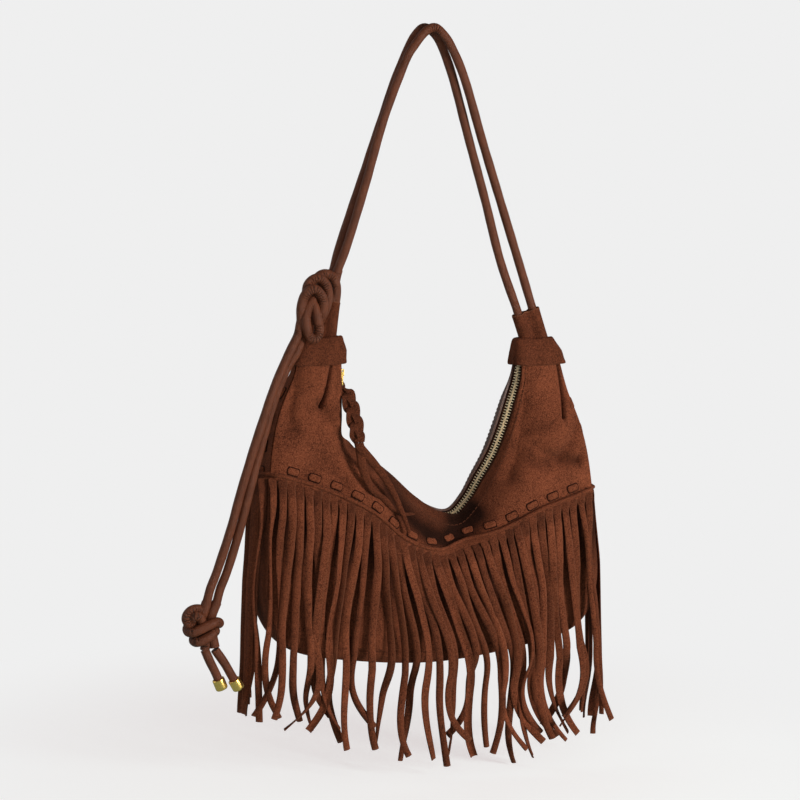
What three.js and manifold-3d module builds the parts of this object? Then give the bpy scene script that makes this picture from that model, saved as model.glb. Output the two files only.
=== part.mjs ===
// A slouching hobo bag of brown suede and smooth leather, hung by its doubled cord strap.
// Millimetres. +X to the bag's right as seen from the front, -Y to the front, +Z up.
// The origin is the underside of the strap at its highest point, where the bag hangs.
import * as THREE from 'three';
import { mergeVertices } from 'three/addons/utils/BufferGeometryUtils.js';
import Module from 'manifold-3d';

const wasm = await Module();
wasm.setup();

// Leather and the gaps at its seams
const SUEDE_THICK = 1.8;
const SMOOTH_THICK = 2.0;
const LACE_THICK = 1.1;
const TAPE_THICK = 0.7;
const SEAM_GAP = 0.4;

// Body outline, seen from the front
const MIDDLE_X = 2;
const BODY_HALF_WIDTH = 159.5;
const NECK_HALF_WIDTH = 18.5;
const BOTTOM_Z = -574;
const BOTTOM_RISE = 26;
const CORNER_INSET = 11;

// Body depth
const BODY_HALF_DEPTH = 34;
const FACE_SWELL = 5;
const BACK_RISE = 18;
const EDGE_FOLD = 14;
const EDGE_ROUNDING = 5;
const GUSSET_BULGE = 3;

// Ears: the gathered tops of the body. Each has a collar round it and a sleeve for the cord above.
const LEFT_EAR = { x: -104, topX: -99, neckZ: -287, sleeveTopZ: -240, lean: 6.8, sleeve: 42, spread: 44 };
const RIGHT_EAR = { x: 112, topX: 108, neckZ: -296, sleeveTopZ: -256.5, lean: -18.4, sleeve: 36, spread: 62 };
const COLLAR_HEIGHT = 25;
const COLLAR_BELOW_NECK = 10;
const COLLAR_HALF_WIDTH = 26.3;
const COLLAR_HALF_DEPTH = 13.6;
const COLLAR_WALL = 3.1;
const COLLAR_TOP_HALF_WIDTH = 18.5;
const COLLAR_TOP_HALF_DEPTH = 9.4;

// Cord, and the sleeves that it passes through
const CORD_DIAMETER = 8;
const CHANNEL_CLEARANCE = 0.5;
const CHANNEL_SPACING = 15;
const SLEEVE_WALL = 1.6;

// Zip
const CHAIN_WIDTH = 6;
const TOOTH_PITCH = 5;
const TOOTH_THICK = 2.4;
const TOOTH_GAP = 0.3;
const TOOTH_REACH = 0.9;
const ZIP_END_SPARE = 7;
const TAPE_SHOWING = 3.4;
const TAPE_UNDER = 1.2;
const PANEL_LIFT = 0.6;
const STOP_LENGTH = 4;

// Zip slider and its pull
const SLIDER_LENGTH = 11;
const SLIDER_Z = -306;
const SLIDER_TRAVEL = 32;
const SLIDER_CLEARANCE = 0.35;
const SLIDER_PLATE = 1.1;
const SLIDER_SIDE = 0.9;
const BRIDGE_WIDTH = 2;
const BRIDGE_BAR = 1;
const BRIDGE_WINDOW = [4.2, 2.2];
const TAB_LENGTH = 13;
const TAB_WIDTH = 5.8;
const TAB_THICK = 1.2;
const PULL_WIDTH = 12;
const PULL_DEPTH = 9;

// Fringe and laces
const LACE_WIDTH = 7.4;
const LACE_BAR = 10.4;
const LACE_SLOPE = 2.4;
const LACE_SLOT = 7.4;
const LACE_ROOM = 2.6;
const LACE_RISE = 7;
const LACE_INSIDE = 1.6;
const STRAND_PITCH = 8.6;
const STRAND_WIDTH = 6.6;
const STRAND_THICK = 1.6;
const STRAND_LENGTH_SIDE = 228;
const STRAND_LENGTH_MIDDLE = 200;
const STRAND_SPLAY = 14;
const SIDE_STRANDS = 4;
const SIDE_FRINGE_FRONT = -15;
const CORNER_ROOM = 3;
const HEADER_HEIGHT = 8;
const STRAND_LOFT = 1.3;

// Cord ends
const CAP_DIAMETER = 11;
const CAP_LENGTH = 10.5;
const CAP_WALL = 1.0;

const v3 = (x, y, z) => new THREE.Vector3(x, y, z);
const mix = (a, b, t) => a + (b - a) * t;
const clamp01 = (t) => Math.min(1, Math.max(0, t));

// Materials, one for each finish
const finish = (color, roughness, metalness = 0) =>
  new THREE.MeshStandardMaterial({ color, roughness, metalness });
const suede = finish(0x6f3d28, 0.95);
const smoothLeather = finish(0x4a2a1c, 0.4);
const cordLeather = finish(0x63392a, 0.45);
const tapeCloth = finish(0x2a1913, 0.85);
const brass = finish(0xc9a05c, 0.3, 1);
const gold = finish(0xd9ab4a, 0.22, 1);

const bag = new THREE.Group();

function add(name, geometry, material) {
  const mesh = new THREE.Mesh(geometry, material);
  mesh.name = name;
  bag.add(mesh);
}

// A closed geometry from its points and triangles, turned so that its faces point out.
function closedGeometry(points, triangles) {
  let volume = 0;
  for (const [a, b, c] of triangles) {
    volume += points[a].dot(points[b].clone().cross(points[c]));
  }
  const turned = volume < 0 ? triangles.map(([a, b, c]) => [a, c, b]) : triangles;
  const geometry = new THREE.BufferGeometry();
  geometry.setAttribute('position', new THREE.Float32BufferAttribute(points.flatMap((p) => p.toArray()), 3));
  geometry.setIndex(turned.flat());
  return geometry;
}

// A sheet: a grid of points on the middle surface, moved half the thickness each way along
// the surface normal, with a wall round its edge.
function sheet(surface, across, down, thick) {
  const rows = [];
  for (let i = 0; i <= across; i += 1) {
    rows.push(Array.from({ length: down + 1 }, (_, j) => surface(i / across, j / down)));
  }
  const at = (i, j) => rows[Math.min(across, Math.max(0, i))][Math.min(down, Math.max(0, j))];
  const points = [];
  for (const side of [0.5, -0.5]) {
    for (let i = 0; i <= across; i += 1) {
      for (let j = 0; j <= down; j += 1) {
        const along = at(i + 1, j).clone().sub(at(i - 1, j));
        const over = at(i, j + 1).clone().sub(at(i, j - 1));
        const normal = along.cross(over).normalize();
        points.push(at(i, j).clone().addScaledVector(normal, side * thick));
      }
    }
  }
  const half = (across + 1) * (down + 1);
  const id = (i, j) => i * (down + 1) + j;
  const triangles = [];
  const quad = (a, b, c, d) => triangles.push([a, b, c], [a, c, d]);
  for (let i = 0; i < across; i += 1) {
    for (let j = 0; j < down; j += 1) {
      quad(id(i, j), id(i + 1, j), id(i + 1, j + 1), id(i, j + 1));
      quad(half + id(i, j), half + id(i, j + 1), half + id(i + 1, j + 1), half + id(i + 1, j));
    }
  }
  for (let i = 0; i < across; i += 1) {
    quad(id(i, 0), half + id(i, 0), half + id(i + 1, 0), id(i + 1, 0));
    quad(id(i, down), id(i + 1, down), half + id(i + 1, down), half + id(i, down));
  }
  for (let j = 0; j < down; j += 1) {
    quad(id(0, j), id(0, j + 1), half + id(0, j + 1), half + id(0, j));
    quad(id(across, j), half + id(across, j), half + id(across, j + 1), id(across, j + 1));
  }
  return closedGeometry(points, triangles);
}

// A loft: closed convex loops of as many points each, joined in order, with flat ends.
function loft(loops) {
  const size = loops[0].length;
  const triangles = [];
  for (let k = 0; k + 1 < loops.length; k += 1) {
    for (let i = 0; i < size; i += 1) {
      const j = (i + 1) % size;
      const base = k * size;
      triangles.push([base + i, base + j, base + size + j], [base + i, base + size + j, base + size + i]);
    }
  }
  const last = (loops.length - 1) * size;
  for (let i = 1; i + 1 < size; i += 1) {
    triangles.push([0, i + 1, i], [last, last + i, last + i + 1]);
  }
  return closedGeometry(loops.flat(), triangles);
}

// A ring: closed loops set round a closed line, joined back to the first.
function ring(loops) {
  const size = loops[0].length;
  const triangles = [];
  loops.forEach((_, k) => {
    const base = k * size;
    const next = ((k + 1) % loops.length) * size;
    for (let i = 0; i < size; i += 1) {
      const j = (i + 1) % size;
      triangles.push([base + i, base + j, next + j], [base + i, next + j, next + i]);
    }
  });
  return closedGeometry(loops.flat(), triangles);
}

function solid(geometry) {
  const bare = geometry.clone();
  bare.deleteAttribute('normal');
  bare.deleteAttribute('uv');
  const merged = mergeVertices(bare, 1e-4);
  return new wasm.Manifold(
    new wasm.Mesh({
      numProp: 3,
      vertProperties: new Float32Array(merged.attributes.position.array),
      triVerts: new Uint32Array(merged.index.array),
    }),
  );
}

function fromSolid(manifold) {
  const mesh = manifold.getMesh();
  const geometry = new THREE.BufferGeometry();
  geometry.setAttribute('position', new THREE.BufferAttribute(mesh.vertProperties, 3));
  geometry.setIndex(new THREE.BufferAttribute(mesh.triVerts, 1));
  return geometry;
}

// Matched stations round the bag, from the left ear under the body to the right ear. zip is the
// chain's line and across the way over it to the front. The outer edge lies at edgeZ on the side
// that side gives, or at that share of the bottom. rise is how far the front face takes to come
// forward. face, edge and back are depths of the front face, outer edge and back face.
const STATIONS = [
  { zip: [-84, 0, -287], across: [0, -1, 0], side: -1, edgeZ: -287, rise: 6, face: 7.5, edge: 6, back: 7.5 },
  { zip: [-84, 0, -306], across: [0, -1, 0], side: -1, edgeZ: -306, rise: 6, face: 8, edge: 8, back: 8.5 },
  { zip: [-84, 0, -325], across: [0, -1, 0], side: -1, edgeZ: -330, rise: 7, face: 10, edge: 15, back: 12 },
  { zip: [-84, 0, -344], across: [0, -1, 0], side: -1, edgeZ: -356, rise: 8, face: 12, edge: 20, back: 15 },
  { zip: [-84, 0, -363], across: [0, -1, 0], side: -1, edgeZ: -395, rise: 12, face: 15, edge: 25, back: 19 },
  { zip: [-73, 5, -378], across: [-0.2, -0.95, -0.3], side: -1, edgeZ: -460, rise: 24, face: 20, edge: 30, back: 24 },
  { zip: [-54, 9, -390], across: [-0.2, -0.85, -0.5], side: -1, edgeZ: -515, rise: 32, face: 24, edge: 32, back: 27 },
  { zip: [-34, 11, -406], across: [-0.1, -0.8, -0.55], bottom: -0.93, rise: 34, face: 27, edge: 33, back: 29 },
  { zip: [-12, 12, -427], across: [0, -0.8, -0.55], bottom: -0.55, rise: 34, face: 29, edge: 34, back: 30 },
  { zip: [12, 12, -443], across: [0, -0.8, -0.6], bottom: 0, rise: 34, face: 30, edge: 34, back: 30 },
  { zip: [31, 12, -446], across: [0.1, -0.8, -0.6], bottom: 0.55, rise: 32, face: 29, edge: 34, back: 30 },
  { zip: [46, 10, -431], across: [0.4, -0.8, -0.45], bottom: 0.93, rise: 30, face: 27, edge: 33, back: 28 },
  { zip: [57, 7, -411], across: [0.65, -0.7, -0.35], side: 1, edgeZ: -515, rise: 30, face: 25, edge: 32, back: 26 },
  { zip: [68, 2, -389], across: [0.75, -0.65, -0.3], side: 1, edgeZ: -460, rise: 28, face: 20, edge: 30, back: 23 },
  { zip: [77, -2, -363], across: [0.78, -0.62, -0.25], side: 1, edgeZ: -402, rise: 25, face: 16, edge: 25, back: 20 },
  { zip: [84, -3, -340], across: [0.7, -0.7, -0.2], side: 1, edgeZ: -364, rise: 20, face: 13, edge: 19, back: 16 },
  { zip: [91, -2, -318], across: [0.45, -0.88, -0.15], side: 1, edgeZ: -331, rise: 12, face: 8.5, edge: 9.5, back: 9.5 },
  { zip: [94, 0, -296], across: [0.1, -0.99, -0.02], side: 1, edgeZ: -296, rise: 6, face: 7.5, edge: 5, back: 7 },
];

// The outer edge: the neck's width down to the collar's foot, spreading below it to the body's
// width, and then the bottom's shallow arc.
function edgePoint({ side, edgeZ, bottom }) {
  if (side) {
    const ear = side < 0 ? LEFT_EAR : RIGHT_EAR;
    const neck = ear.x + side * NECK_HALF_WIDTH;
    const body = MIDDLE_X + side * BODY_HALF_WIDTH;
    const below = Math.max(0, ear.neckZ - COLLAR_BELOW_NECK - edgeZ);
    return v3(mix(body, neck, Math.exp(-((below / ear.spread) ** 1.25))), 0, edgeZ);
  }
  const reach = bottom * (BODY_HALF_WIDTH - CORNER_INSET);
  return v3(MIDDLE_X + reach, 0, BOTTOM_Z + BOTTOM_RISE * bottom * bottom);
}
const through = (points) => new THREE.CatmullRomCurve3(points, false, 'catmullrom', 0.5);
const zipCurve = through(STATIONS.map((s) => v3(...s.zip)));
const acrossCurve = through(STATIONS.map((s) => v3(...s.across)));
const edgeCurve = through(STATIONS.map(edgePoint));
const depthCurve = through(STATIONS.map((s) => v3(s.face, s.edge, s.back)));
const riseCurve = through(STATIONS.map((s) => v3(s.rise, 0, 0)));

// The zip's frame at a share of the way round: along it, across it to the front, out of the bag.
function zipFrame(s) {
  const along = zipCurve.getTangent(s);
  const across = acrossCurve.getPoint(s);
  across.addScaledVector(along, -across.dot(along)).normalize();
  return { at: zipCurve.getPoint(s), along, across, out: across.clone().cross(along) };
}

// A face of the body, on the front (side 1) or the back (side -1). It runs from beside the zip to
// the outer edge, comes out to its depth as a quarter ellipse, and rounds back at the outer edge.
function faceFrame(side, s) {
  const { at, across, out } = zipFrame(s);
  const start = at.addScaledVector(across, side * (CHAIN_WIDTH / 2 + TAPE_SHOWING)).addScaledVector(out, PANEL_LIFT);
  const edge = edgeCurve.getPoint(s);
  const depth = depthCurve.getPoint(s);
  const reach = Math.hypot(edge.x - start.x, edge.z - start.z);
  const rise = side > 0 ? riseCurve.getPoint(s).x : BACK_RISE * clamp01(depth.z / BODY_HALF_DEPTH);
  return { start, edge, depth, reach, rise };
}
function facePoint(side, s, t) {
  const { start, edge, depth, reach, rise } = faceFrame(side, s);
  const lift = clamp01((t * reach) / rise);
  const comesOut = Math.sqrt(1 - (1 - lift) ** 2);
  const nearEdge = clamp01(1 - ((1 - t) * reach) / EDGE_FOLD);
  const fullness = clamp01(depth.x / BODY_HALF_DEPTH);
  const swell = FACE_SWELL * Math.sin(Math.PI * t) * fullness;
  const face = mix(side > 0 ? depth.x : depth.z, depth.y, t) + swell - EDGE_ROUNDING * nearEdge ** 2 * fullness;
  return v3(mix(start.x, edge.x, t), mix(start.y, -side * face, comesOut), mix(start.z, edge.z, t));
}
// Panels are sampled at this many places round the bag. This share of a panel's rows lies on the
// bend beside the zip, turning evenly round it.
const AROUND = 32;
const BEND_ROWS = 0.42;
function facePlace(side, s, v) {
  const { reach, rise } = faceFrame(side, s);
  if (v < BEND_ROWS) return facePoint(side, s, (rise / reach) * (1 - Math.cos((v / BEND_ROWS) * (Math.PI / 2))));
  return facePoint(side, s, mix(rise / reach, 1, (v - BEND_ROWS) / (1 - BEND_ROWS)));
}

function faceNormal(side, s, t) {
  const step = 0.004;
  const along = facePoint(side, Math.min(1, s + step), t).sub(facePoint(side, Math.max(0, s - step), t));
  const over = facePoint(side, s, Math.min(1, t + step)).sub(facePoint(side, s, Math.max(0, t - step)));
  return over.cross(along).multiplyScalar(side).normalize();
}

add('back_panel', sheet((u, v) => facePlace(-1, u, v), AROUND, 6, SMOOTH_THICK), smoothLeather);

// The gusset: one strip round the sides and bottom, between the two faces' outer edges.
function gussetPoint(s, v) {
  const front = facePoint(1, s, 1);
  const back = facePoint(-1, s, 1);
  const depth = mix(front.y + SUEDE_THICK / 2 + SEAM_GAP, back.y - SMOOTH_THICK / 2 - SEAM_GAP, v);
  const outward = edgeCurve.getTangent(s).cross(v3(0, -1, 0)).normalize();
  const bulge = GUSSET_BULGE * Math.sin(Math.PI * v) * clamp01((back.y - front.y) / BODY_HALF_DEPTH) ** 2;
  return v3(front.x, depth, front.z).addScaledVector(outward, bulge);
}

// A point of the front face by its place as seen from the front, found by closing in on it.
function onFront(x, z) {
  let best = { s: 0.5, t: 0.5, miss: Infinity };
  for (let i = 0; i <= 60; i += 1) {
    for (let j = 0; j <= 20; j += 1) {
      const p = facePoint(1, i / 60, j / 20);
      const miss = Math.hypot(p.x - x, p.z - z);
      if (miss < best.miss) best = { s: i / 60, t: j / 20, miss };
    }
  }
  let { s, t } = best;
  for (let turn = 0; turn < 12; turn += 1) {
    const p = facePoint(1, s, t);
    const h = 0.002;
    const ps = facePoint(1, Math.min(1, s + h), t).sub(facePoint(1, Math.max(0, s - h), t)).divideScalar(2 * h);
    const pt = facePoint(1, s, Math.min(1, t + h)).sub(facePoint(1, s, Math.max(0, t - h))).divideScalar(2 * h);
    const det = ps.x * pt.z - ps.z * pt.x;
    const dx = x - p.x;
    const dz = z - p.z;
    s = clamp01(s + (0.8 * (dx * pt.z - dz * pt.x)) / det);
    t = clamp01(t + (0.8 * (ps.x * dz - ps.z * dx)) / det);
  }
  return { s, t, point: facePoint(1, s, t), normal: faceNormal(1, s, t) };
}

// The line on the front where the fringe strip is sewn.
const SEAM = through([
  [-151, -392], [-129, -399], [-93, -413], [-60, -431], [-31, -457], [-1, -470],
  [25, -467], [62, -456], [103, -438], [140, -427], [153, -423],
].map(([x, z]) => v3(x, 0, z)));
const overFront = (x, z, lift) => {
  const { point, normal } = onFront(x, z);
  return { point: point.clone().addScaledVector(normal, lift), normal };
};

// A strip along a line of points, each with the way its face looks, its width and its thickness.
function strip(stops) {
  return loft(
    stops.map(({ point, normal, width, thick }, k) => {
      const along = stops[Math.min(k + 1, stops.length - 1)].point.clone().sub(stops[Math.max(k - 1, 0)].point);
      const over = normal.clone().cross(along).normalize();
      const out = along.cross(over).normalize();
      return [[1, 1], [-1, 1], [-1, -1], [1, -1]].map(([w, n]) =>
        point.clone().addScaledVector(over, (w * width) / 2).addScaledVector(out, (n * thick) / 2),
      );
    }),
  );
}

// A lace woven in and out of slots along a line on a panel. It shows as a row of short bars.
function lacing(samples, bars, panelThick) {
  const line = through(samples.map(({ point }) => point));
  const facing = through(samples.map(({ normal }) => normal));
  const lift = panelThick / 2 + LACE_THICK / 2 + 1.8 * SEAM_GAP;
  const length = line.getLength();
  const place = (arc, height) => {
    const t = line.getUtoTmapping(clamp01(arc / length));
    const normal = facing.getPoint(t).normalize();
    const point = line.getPoint(t).addScaledVector(normal, height);
    return { point, normal, along: line.getTangent(t), width: LACE_WIDTH, thick: LACE_THICK };
  };
  const stops = [];
  const slots = [];
  for (let k = 0; k < bars; k += 1) {
    const centre = ((k + 0.5) * length) / bars;
    stops.push(place(centre - LACE_BAR / 2 - LACE_SLOPE, -lift - LACE_INSIDE));
    stops.push(place(centre - LACE_BAR / 2, lift), place(centre, lift), place(centre + LACE_BAR / 2, lift));
    stops.push(place(centre + LACE_BAR / 2 + LACE_SLOPE, -lift - LACE_INSIDE));
    for (const side of [-1, 1]) {
      const { point, normal, along } = place(centre + (side * (LACE_BAR + LACE_SLOPE)) / 2, 0);
      const up = normal.clone().cross(along).normalize();
      const basis = new THREE.Matrix4().makeBasis(up.clone().cross(normal), up, normal).setPosition(point);
      slots.push(new THREE.BoxGeometry(LACE_SLOT, LACE_WIDTH + LACE_ROOM, 8).applyMatrix4(basis));
    }
  }
  return { geometry: strip(stops), slots };
}
const pierced = (geometry, slots) => {
  const body = slots.reduce((left, slot) => left.subtract(solid(slot)), solid(geometry));
  return fromSolid(body);
};
const frontLacing = lacing(
  Array.from({ length: 41 }, (_, k) => {
    const { x, z } = SEAM.getPointAt(mix(0.02, 0.98, k / 40));
    return overFront(x, z + LACE_RISE, 0);
  }),
  15,
  SUEDE_THICK,
);
const front = sheet((u, v) => facePlace(1, u, v), AROUND, 9, SUEDE_THICK);
add('front_panel', pierced(front, frontLacing.slots), suede);
add('front_lace', frontLacing.geometry, suede);

// The side laces run down the gusset close behind its front edge.
function sideLacing(from, to) {
  const step = 0.01;
  const samples = Array.from({ length: 13 }, (_, k) => {
    const s = mix(from, to, k / 12);
    const point = gussetPoint(s, 0.3);
    const along = gussetPoint(s + step, 0.3).sub(gussetPoint(s - step, 0.3));
    const over = gussetPoint(s, 0.4).sub(gussetPoint(s, 0.2));
    return { point, normal: over.cross(along).normalize() };
  });
  return lacing(samples, 3, SMOOTH_THICK);
}
const leftLacing = sideLacing(0.065, 0.235);
const rightLacing = sideLacing(0.79, 0.94);
const side = sheet(gussetPoint, AROUND, 3, SMOOTH_THICK);
add('gusset', pierced(side, [...leftLacing.slots, ...rightLacing.slots]), smoothLeather);
add('side_lace_left', leftLacing.geometry, suede);
add('side_lace_right', rightLacing.geometry, suede);

// The slider's plates lie this far above and below the chain line, and reach this far across it.
const plateAt = TOOTH_THICK / 2 + SLIDER_CLEARANCE;
const plateTop = plateAt + SLIDER_PLATE;
const sideAt = CHAIN_WIDTH / 2 + SLIDER_CLEARANCE;
const plateHalf = sideAt + SLIDER_SIDE;
const axisOut = plateTop + BRIDGE_WINDOW[1] / 2;

// Zip tapes: from beside the teeth, under the panel's edge and a little way on inside it. Where the
// slider runs they leave a slit for its side walls.
const TRAVEL_END_Z = SLIDER_Z - SLIDER_TRAVEL - SLIDER_LENGTH;
function tapePoint(side, s, v) {
  const { at, across } = zipFrame(s);
  const beside = s < 0.5 && at.z > TRAVEL_END_Z ? plateHalf + 1.6 * SEAM_GAP : CHAIN_WIDTH / 2 + 2 * SEAM_GAP;
  const inner = at.addScaledVector(across, side * beside);
  if (v === 0) return inner;
  const reach = facePoint(side, s, 0).distanceTo(facePoint(side, s, 1));
  const t = v < 1 ? 0 : TAPE_UNDER / reach;
  const below = (side > 0 ? SUEDE_THICK : SMOOTH_THICK) / 2 + TAPE_THICK / 2 + 2.5 * SEAM_GAP;
  return facePoint(side, s, t).addScaledVector(faceNormal(side, s, t), -below);
}
add('zip_tape_front', sheet((u, v) => tapePoint(1, u, v), AROUND, 2, TAPE_THICK), tapeCloth);
add('zip_tape_back', sheet((u, v) => tapePoint(-1, u, v), AROUND, 2, TAPE_THICK), tapeCloth);

// Zip teeth: two rows in mesh. Each row's inner edge is a zigzag that fits the other's.
function teethRow(side) {
  const length = zipCurve.getLength();
  const steps = 2 * Math.round((length - 2 * ZIP_END_SPARE) / TOOTH_PITCH);
  const loops = [];
  for (let k = 0; k <= steps; k += 1) {
    const s = zipCurve.getUtoTmapping(mix(ZIP_END_SPARE, length - ZIP_END_SPARE, k / steps) / length);
    const { at, across, out } = zipFrame(s);
    const inner = side * TOOTH_GAP + (k % 2 ? TOOTH_REACH : -TOOTH_REACH);
    const outer = (side * CHAIN_WIDTH) / 2;
    const corner = (w, n) => at.clone().addScaledVector(across, w).addScaledVector(out, n * TOOTH_THICK);
    loops.push([corner(inner, 0.5), corner(outer, 0.5), corner(outer, -0.5), corner(inner, -0.5)]);
  }
  return loft(loops);
}
add('zip_teeth_front', teethRow(1), brass);
add('zip_teeth_back', teethRow(-1), brass);

// A shape drawn from above the zip's straight left leg: X across it to the back, Y up it and
// Z out of the bag, with its origin on the chain line at the slider.
function onLeg(geometry) {
  const basis = new THREE.Matrix4().makeBasis(v3(0, 1, 0), v3(0, 0, 1), v3(1, 0, 0));
  basis.setPosition(STATIONS[0].zip[0], STATIONS[0].zip[1], SLIDER_Z);
  return geometry.applyMatrix4(basis);
}
function extruded(shape, depth, z = 0) {
  return new THREE.ExtrudeGeometry(shape, { depth, bevelEnabled: false, curveSegments: 6 }).translate(0, 0, z);
}
function box(w, h, d, x = 0, y = 0, z = 0) {
  return new THREE.BoxGeometry(w, h, d).translate(x, y, z);
}

// The slider: two plates hold the teeth between them, joined by side walls in the tapes' slits,
// and a bridge on the outer plate carries the pull tab.
function sliderGeometry() {
  const half = SLIDER_LENGTH / 2;
  const outline = new THREE.Shape();
  outline.moveTo(-plateHalf, -half + 1);
  outline.lineTo(-plateHalf + 1, -half);
  outline.lineTo(plateHalf - 1, -half);
  outline.lineTo(plateHalf, -half + 1);
  outline.lineTo(plateHalf, half - 2.5);
  outline.quadraticCurveTo(plateHalf, half, 0, half);
  outline.quadraticCurveTo(-plateHalf, half, -plateHalf, half - 2.5);
  let body = solid(extruded(outline, SLIDER_PLATE, plateAt));
  body = body.add(solid(extruded(outline, SLIDER_PLATE, -plateTop)));
  for (const side of [-1, 1]) {
    const x = side * (sideAt + SLIDER_SIDE / 2);
    body = body.add(solid(box(SLIDER_SIDE, SLIDER_LENGTH - 4, 2 * plateTop - 0.4, x, -1)));
  }
  const [windowLength, windowHeight] = BRIDGE_WINDOW;
  const barHalf = windowLength / 2 + BRIDGE_BAR;
  const bridge = box(BRIDGE_WIDTH, 2 * barHalf, windowHeight + BRIDGE_BAR + 0.3, 0, 0, 0);
  bridge.translate(0, 0, plateTop - 0.3 + (windowHeight + BRIDGE_BAR + 0.3) / 2);
  const window = box(BRIDGE_WIDTH + 1, windowLength, windowHeight, 0, 0, axisOut);
  return onLeg(fromSolid(body.add(solid(bridge).subtract(solid(window)))));
}
add('zip_slider', sliderGeometry(), gold);

// The pull tab: a flat frame whose top bar lies in the bridge's window, with a hole at its foot
// for the plaited pull.
function tabGeometry() {
  const half = TAB_WIDTH / 2;
  const barHalf = TAB_THICK / 2;
  const foot = barHalf - TAB_LENGTH;
  const outline = new THREE.Shape();
  outline.moveTo(-half, barHalf);
  outline.lineTo(-half, foot + 2.2);
  outline.quadraticCurveTo(-half, foot, 0, foot);
  outline.quadraticCurveTo(half, foot, half, foot + 2.2);
  outline.lineTo(half, barHalf);
  const inner = BRIDGE_WIDTH / 2 + 0.5;
  const slot = new THREE.Path();
  slot.moveTo(-inner, -barHalf);
  slot.lineTo(inner, -barHalf);
  slot.lineTo(inner, -6);
  slot.lineTo(-inner, -6);
  slot.closePath();
  const eye = new THREE.Path();
  eye.absarc(0, -TAB_LENGTH + 3.4, 1.5, 0, 2 * Math.PI, true);
  outline.holes.push(slot, eye);
  return onLeg(extruded(outline, TAB_THICK, axisOut - TAB_THICK / 2));
}
add('zip_pull_tab', tabGeometry(), gold);

// Stops beyond the two ends of the teeth.
for (const [name, s] of [['zip_top_stop', 0], ['zip_end_stop', 1]]) {
  const { at, along, across, out } = zipFrame(s);
  const basis = new THREE.Matrix4().makeBasis(across, along, across.clone().cross(along));
  const from = (s ? -1 : 1) * (ZIP_END_SPARE - SEAM_GAP - STOP_LENGTH / 2);
  basis.setPosition(at.addScaledVector(along, from));
  add(name, box(CHAIN_WIDTH, STOP_LENGTH, TOOTH_THICK).applyMatrix4(basis), brass);
}

// Collars: folded suede bands round the gathered ears, drawn in above to the sleeve.
const sleeveHalfWidth = CHANNEL_SPACING / 2 + CORD_DIAMETER / 2 + CHANNEL_CLEARANCE + SLEEVE_WALL;
const sleeveHalfDepth = CORD_DIAMETER / 2 + CHANNEL_CLEARANCE + SLEEVE_WALL;
function collar({ x, topX, neckZ, lean }) {
  const bottomZ = neckZ - COLLAR_BELOW_NECK;
  const topZ = bottomZ + COLLAR_HEIGHT;
  const holeHalfWidth = sleeveHalfWidth / Math.cos(THREE.MathUtils.degToRad(lean)) + 1.5 * SEAM_GAP;
  const levels = [
    { x: topX, z: topZ, w: COLLAR_TOP_HALF_WIDTH - 1, d: COLLAR_TOP_HALF_DEPTH - 0.8 },
    { x: topX, z: topZ - 1.5, w: COLLAR_TOP_HALF_WIDTH, d: COLLAR_TOP_HALF_DEPTH },
    { x: mix(x, topX, 0.45), z: mix(bottomZ, topZ, 0.45), w: COLLAR_HALF_WIDTH - 2.4, d: COLLAR_HALF_DEPTH - 0.6 },
    { x, z: bottomZ, w: COLLAR_HALF_WIDTH, d: COLLAR_HALF_DEPTH },
    { x, z: bottomZ, w: COLLAR_HALF_WIDTH - COLLAR_WALL, d: COLLAR_HALF_DEPTH - COLLAR_WALL },
    { x, z: neckZ + 1.5, w: COLLAR_HALF_WIDTH - COLLAR_WALL, d: COLLAR_HALF_DEPTH - COLLAR_WALL },
    { x: topX, z: topZ, w: holeHalfWidth, d: sleeveHalfDepth + SEAM_GAP },
  ];
  return ring(
    Array.from({ length: 20 }, (_, k) => {
      const angle = (k / 20) * 2 * Math.PI;
      const c = Math.cos(angle);
      const n = Math.sin(angle);
      const squareness = 1 / (c ** 6 + n ** 6) ** (1 / 6);
      return levels.map((l) => v3(l.x + l.w * c * squareness, l.d * n * squareness, l.z));
    }),
  );
}
add('collar_left', collar(LEFT_EAR), suede);
add('collar_right', collar(RIGHT_EAR), suede);

// Sleeves: one folded piece of suede each, stitched down the middle into two cord channels.
function sleeveFrame({ topX, neckZ, sleeveTopZ, lean }) {
  const angle = THREE.MathUtils.degToRad(lean);
  const down = v3(-Math.sin(angle), 0, -Math.cos(angle));
  const collarTopZ = neckZ - COLLAR_BELOW_NECK + COLLAR_HEIGHT;
  const top = v3(topX, 0, collarTopZ).addScaledVector(down, (sleeveTopZ - collarTopZ) / down.z);
  return { top, down, right: v3(Math.cos(angle), 0, -Math.sin(angle)) };
}
function sleeve(ear) {
  const { top, down, right } = sleeveFrame(ear);
  const r = sleeveHalfDepth;
  const outline = new THREE.Shape();
  const dip = Math.acos(SLEEVE_WALL / r);
  outline.absarc(CHANNEL_SPACING / 2, 0, r, -Math.PI / 2 - dip * 0.35, Math.PI / 2 + dip * 0.35, false);
  outline.absarc(-CHANNEL_SPACING / 2, 0, r, Math.PI / 2 - dip * 0.35, -Math.PI / 2 + dip * 0.35, false);
  for (const side of [-1, 1]) {
    const channel = new THREE.Path();
    channel.absarc((side * CHANNEL_SPACING) / 2, 0, CORD_DIAMETER / 2 + CHANNEL_CLEARANCE, 0, 2 * Math.PI, true);
    outline.holes.push(channel);
  }
  const body = new THREE.ExtrudeGeometry(outline, { depth: ear.sleeve, bevelEnabled: false, curveSegments: 8 });
  const basis = new THREE.Matrix4().makeBasis(right, right.clone().cross(down).negate(), down);
  return body.applyMatrix4(basis.setPosition(top));
}
add('sleeve_left', sleeve(LEFT_EAR), suede);
add('sleeve_right', sleeve(RIGHT_EAR), suede);

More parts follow.
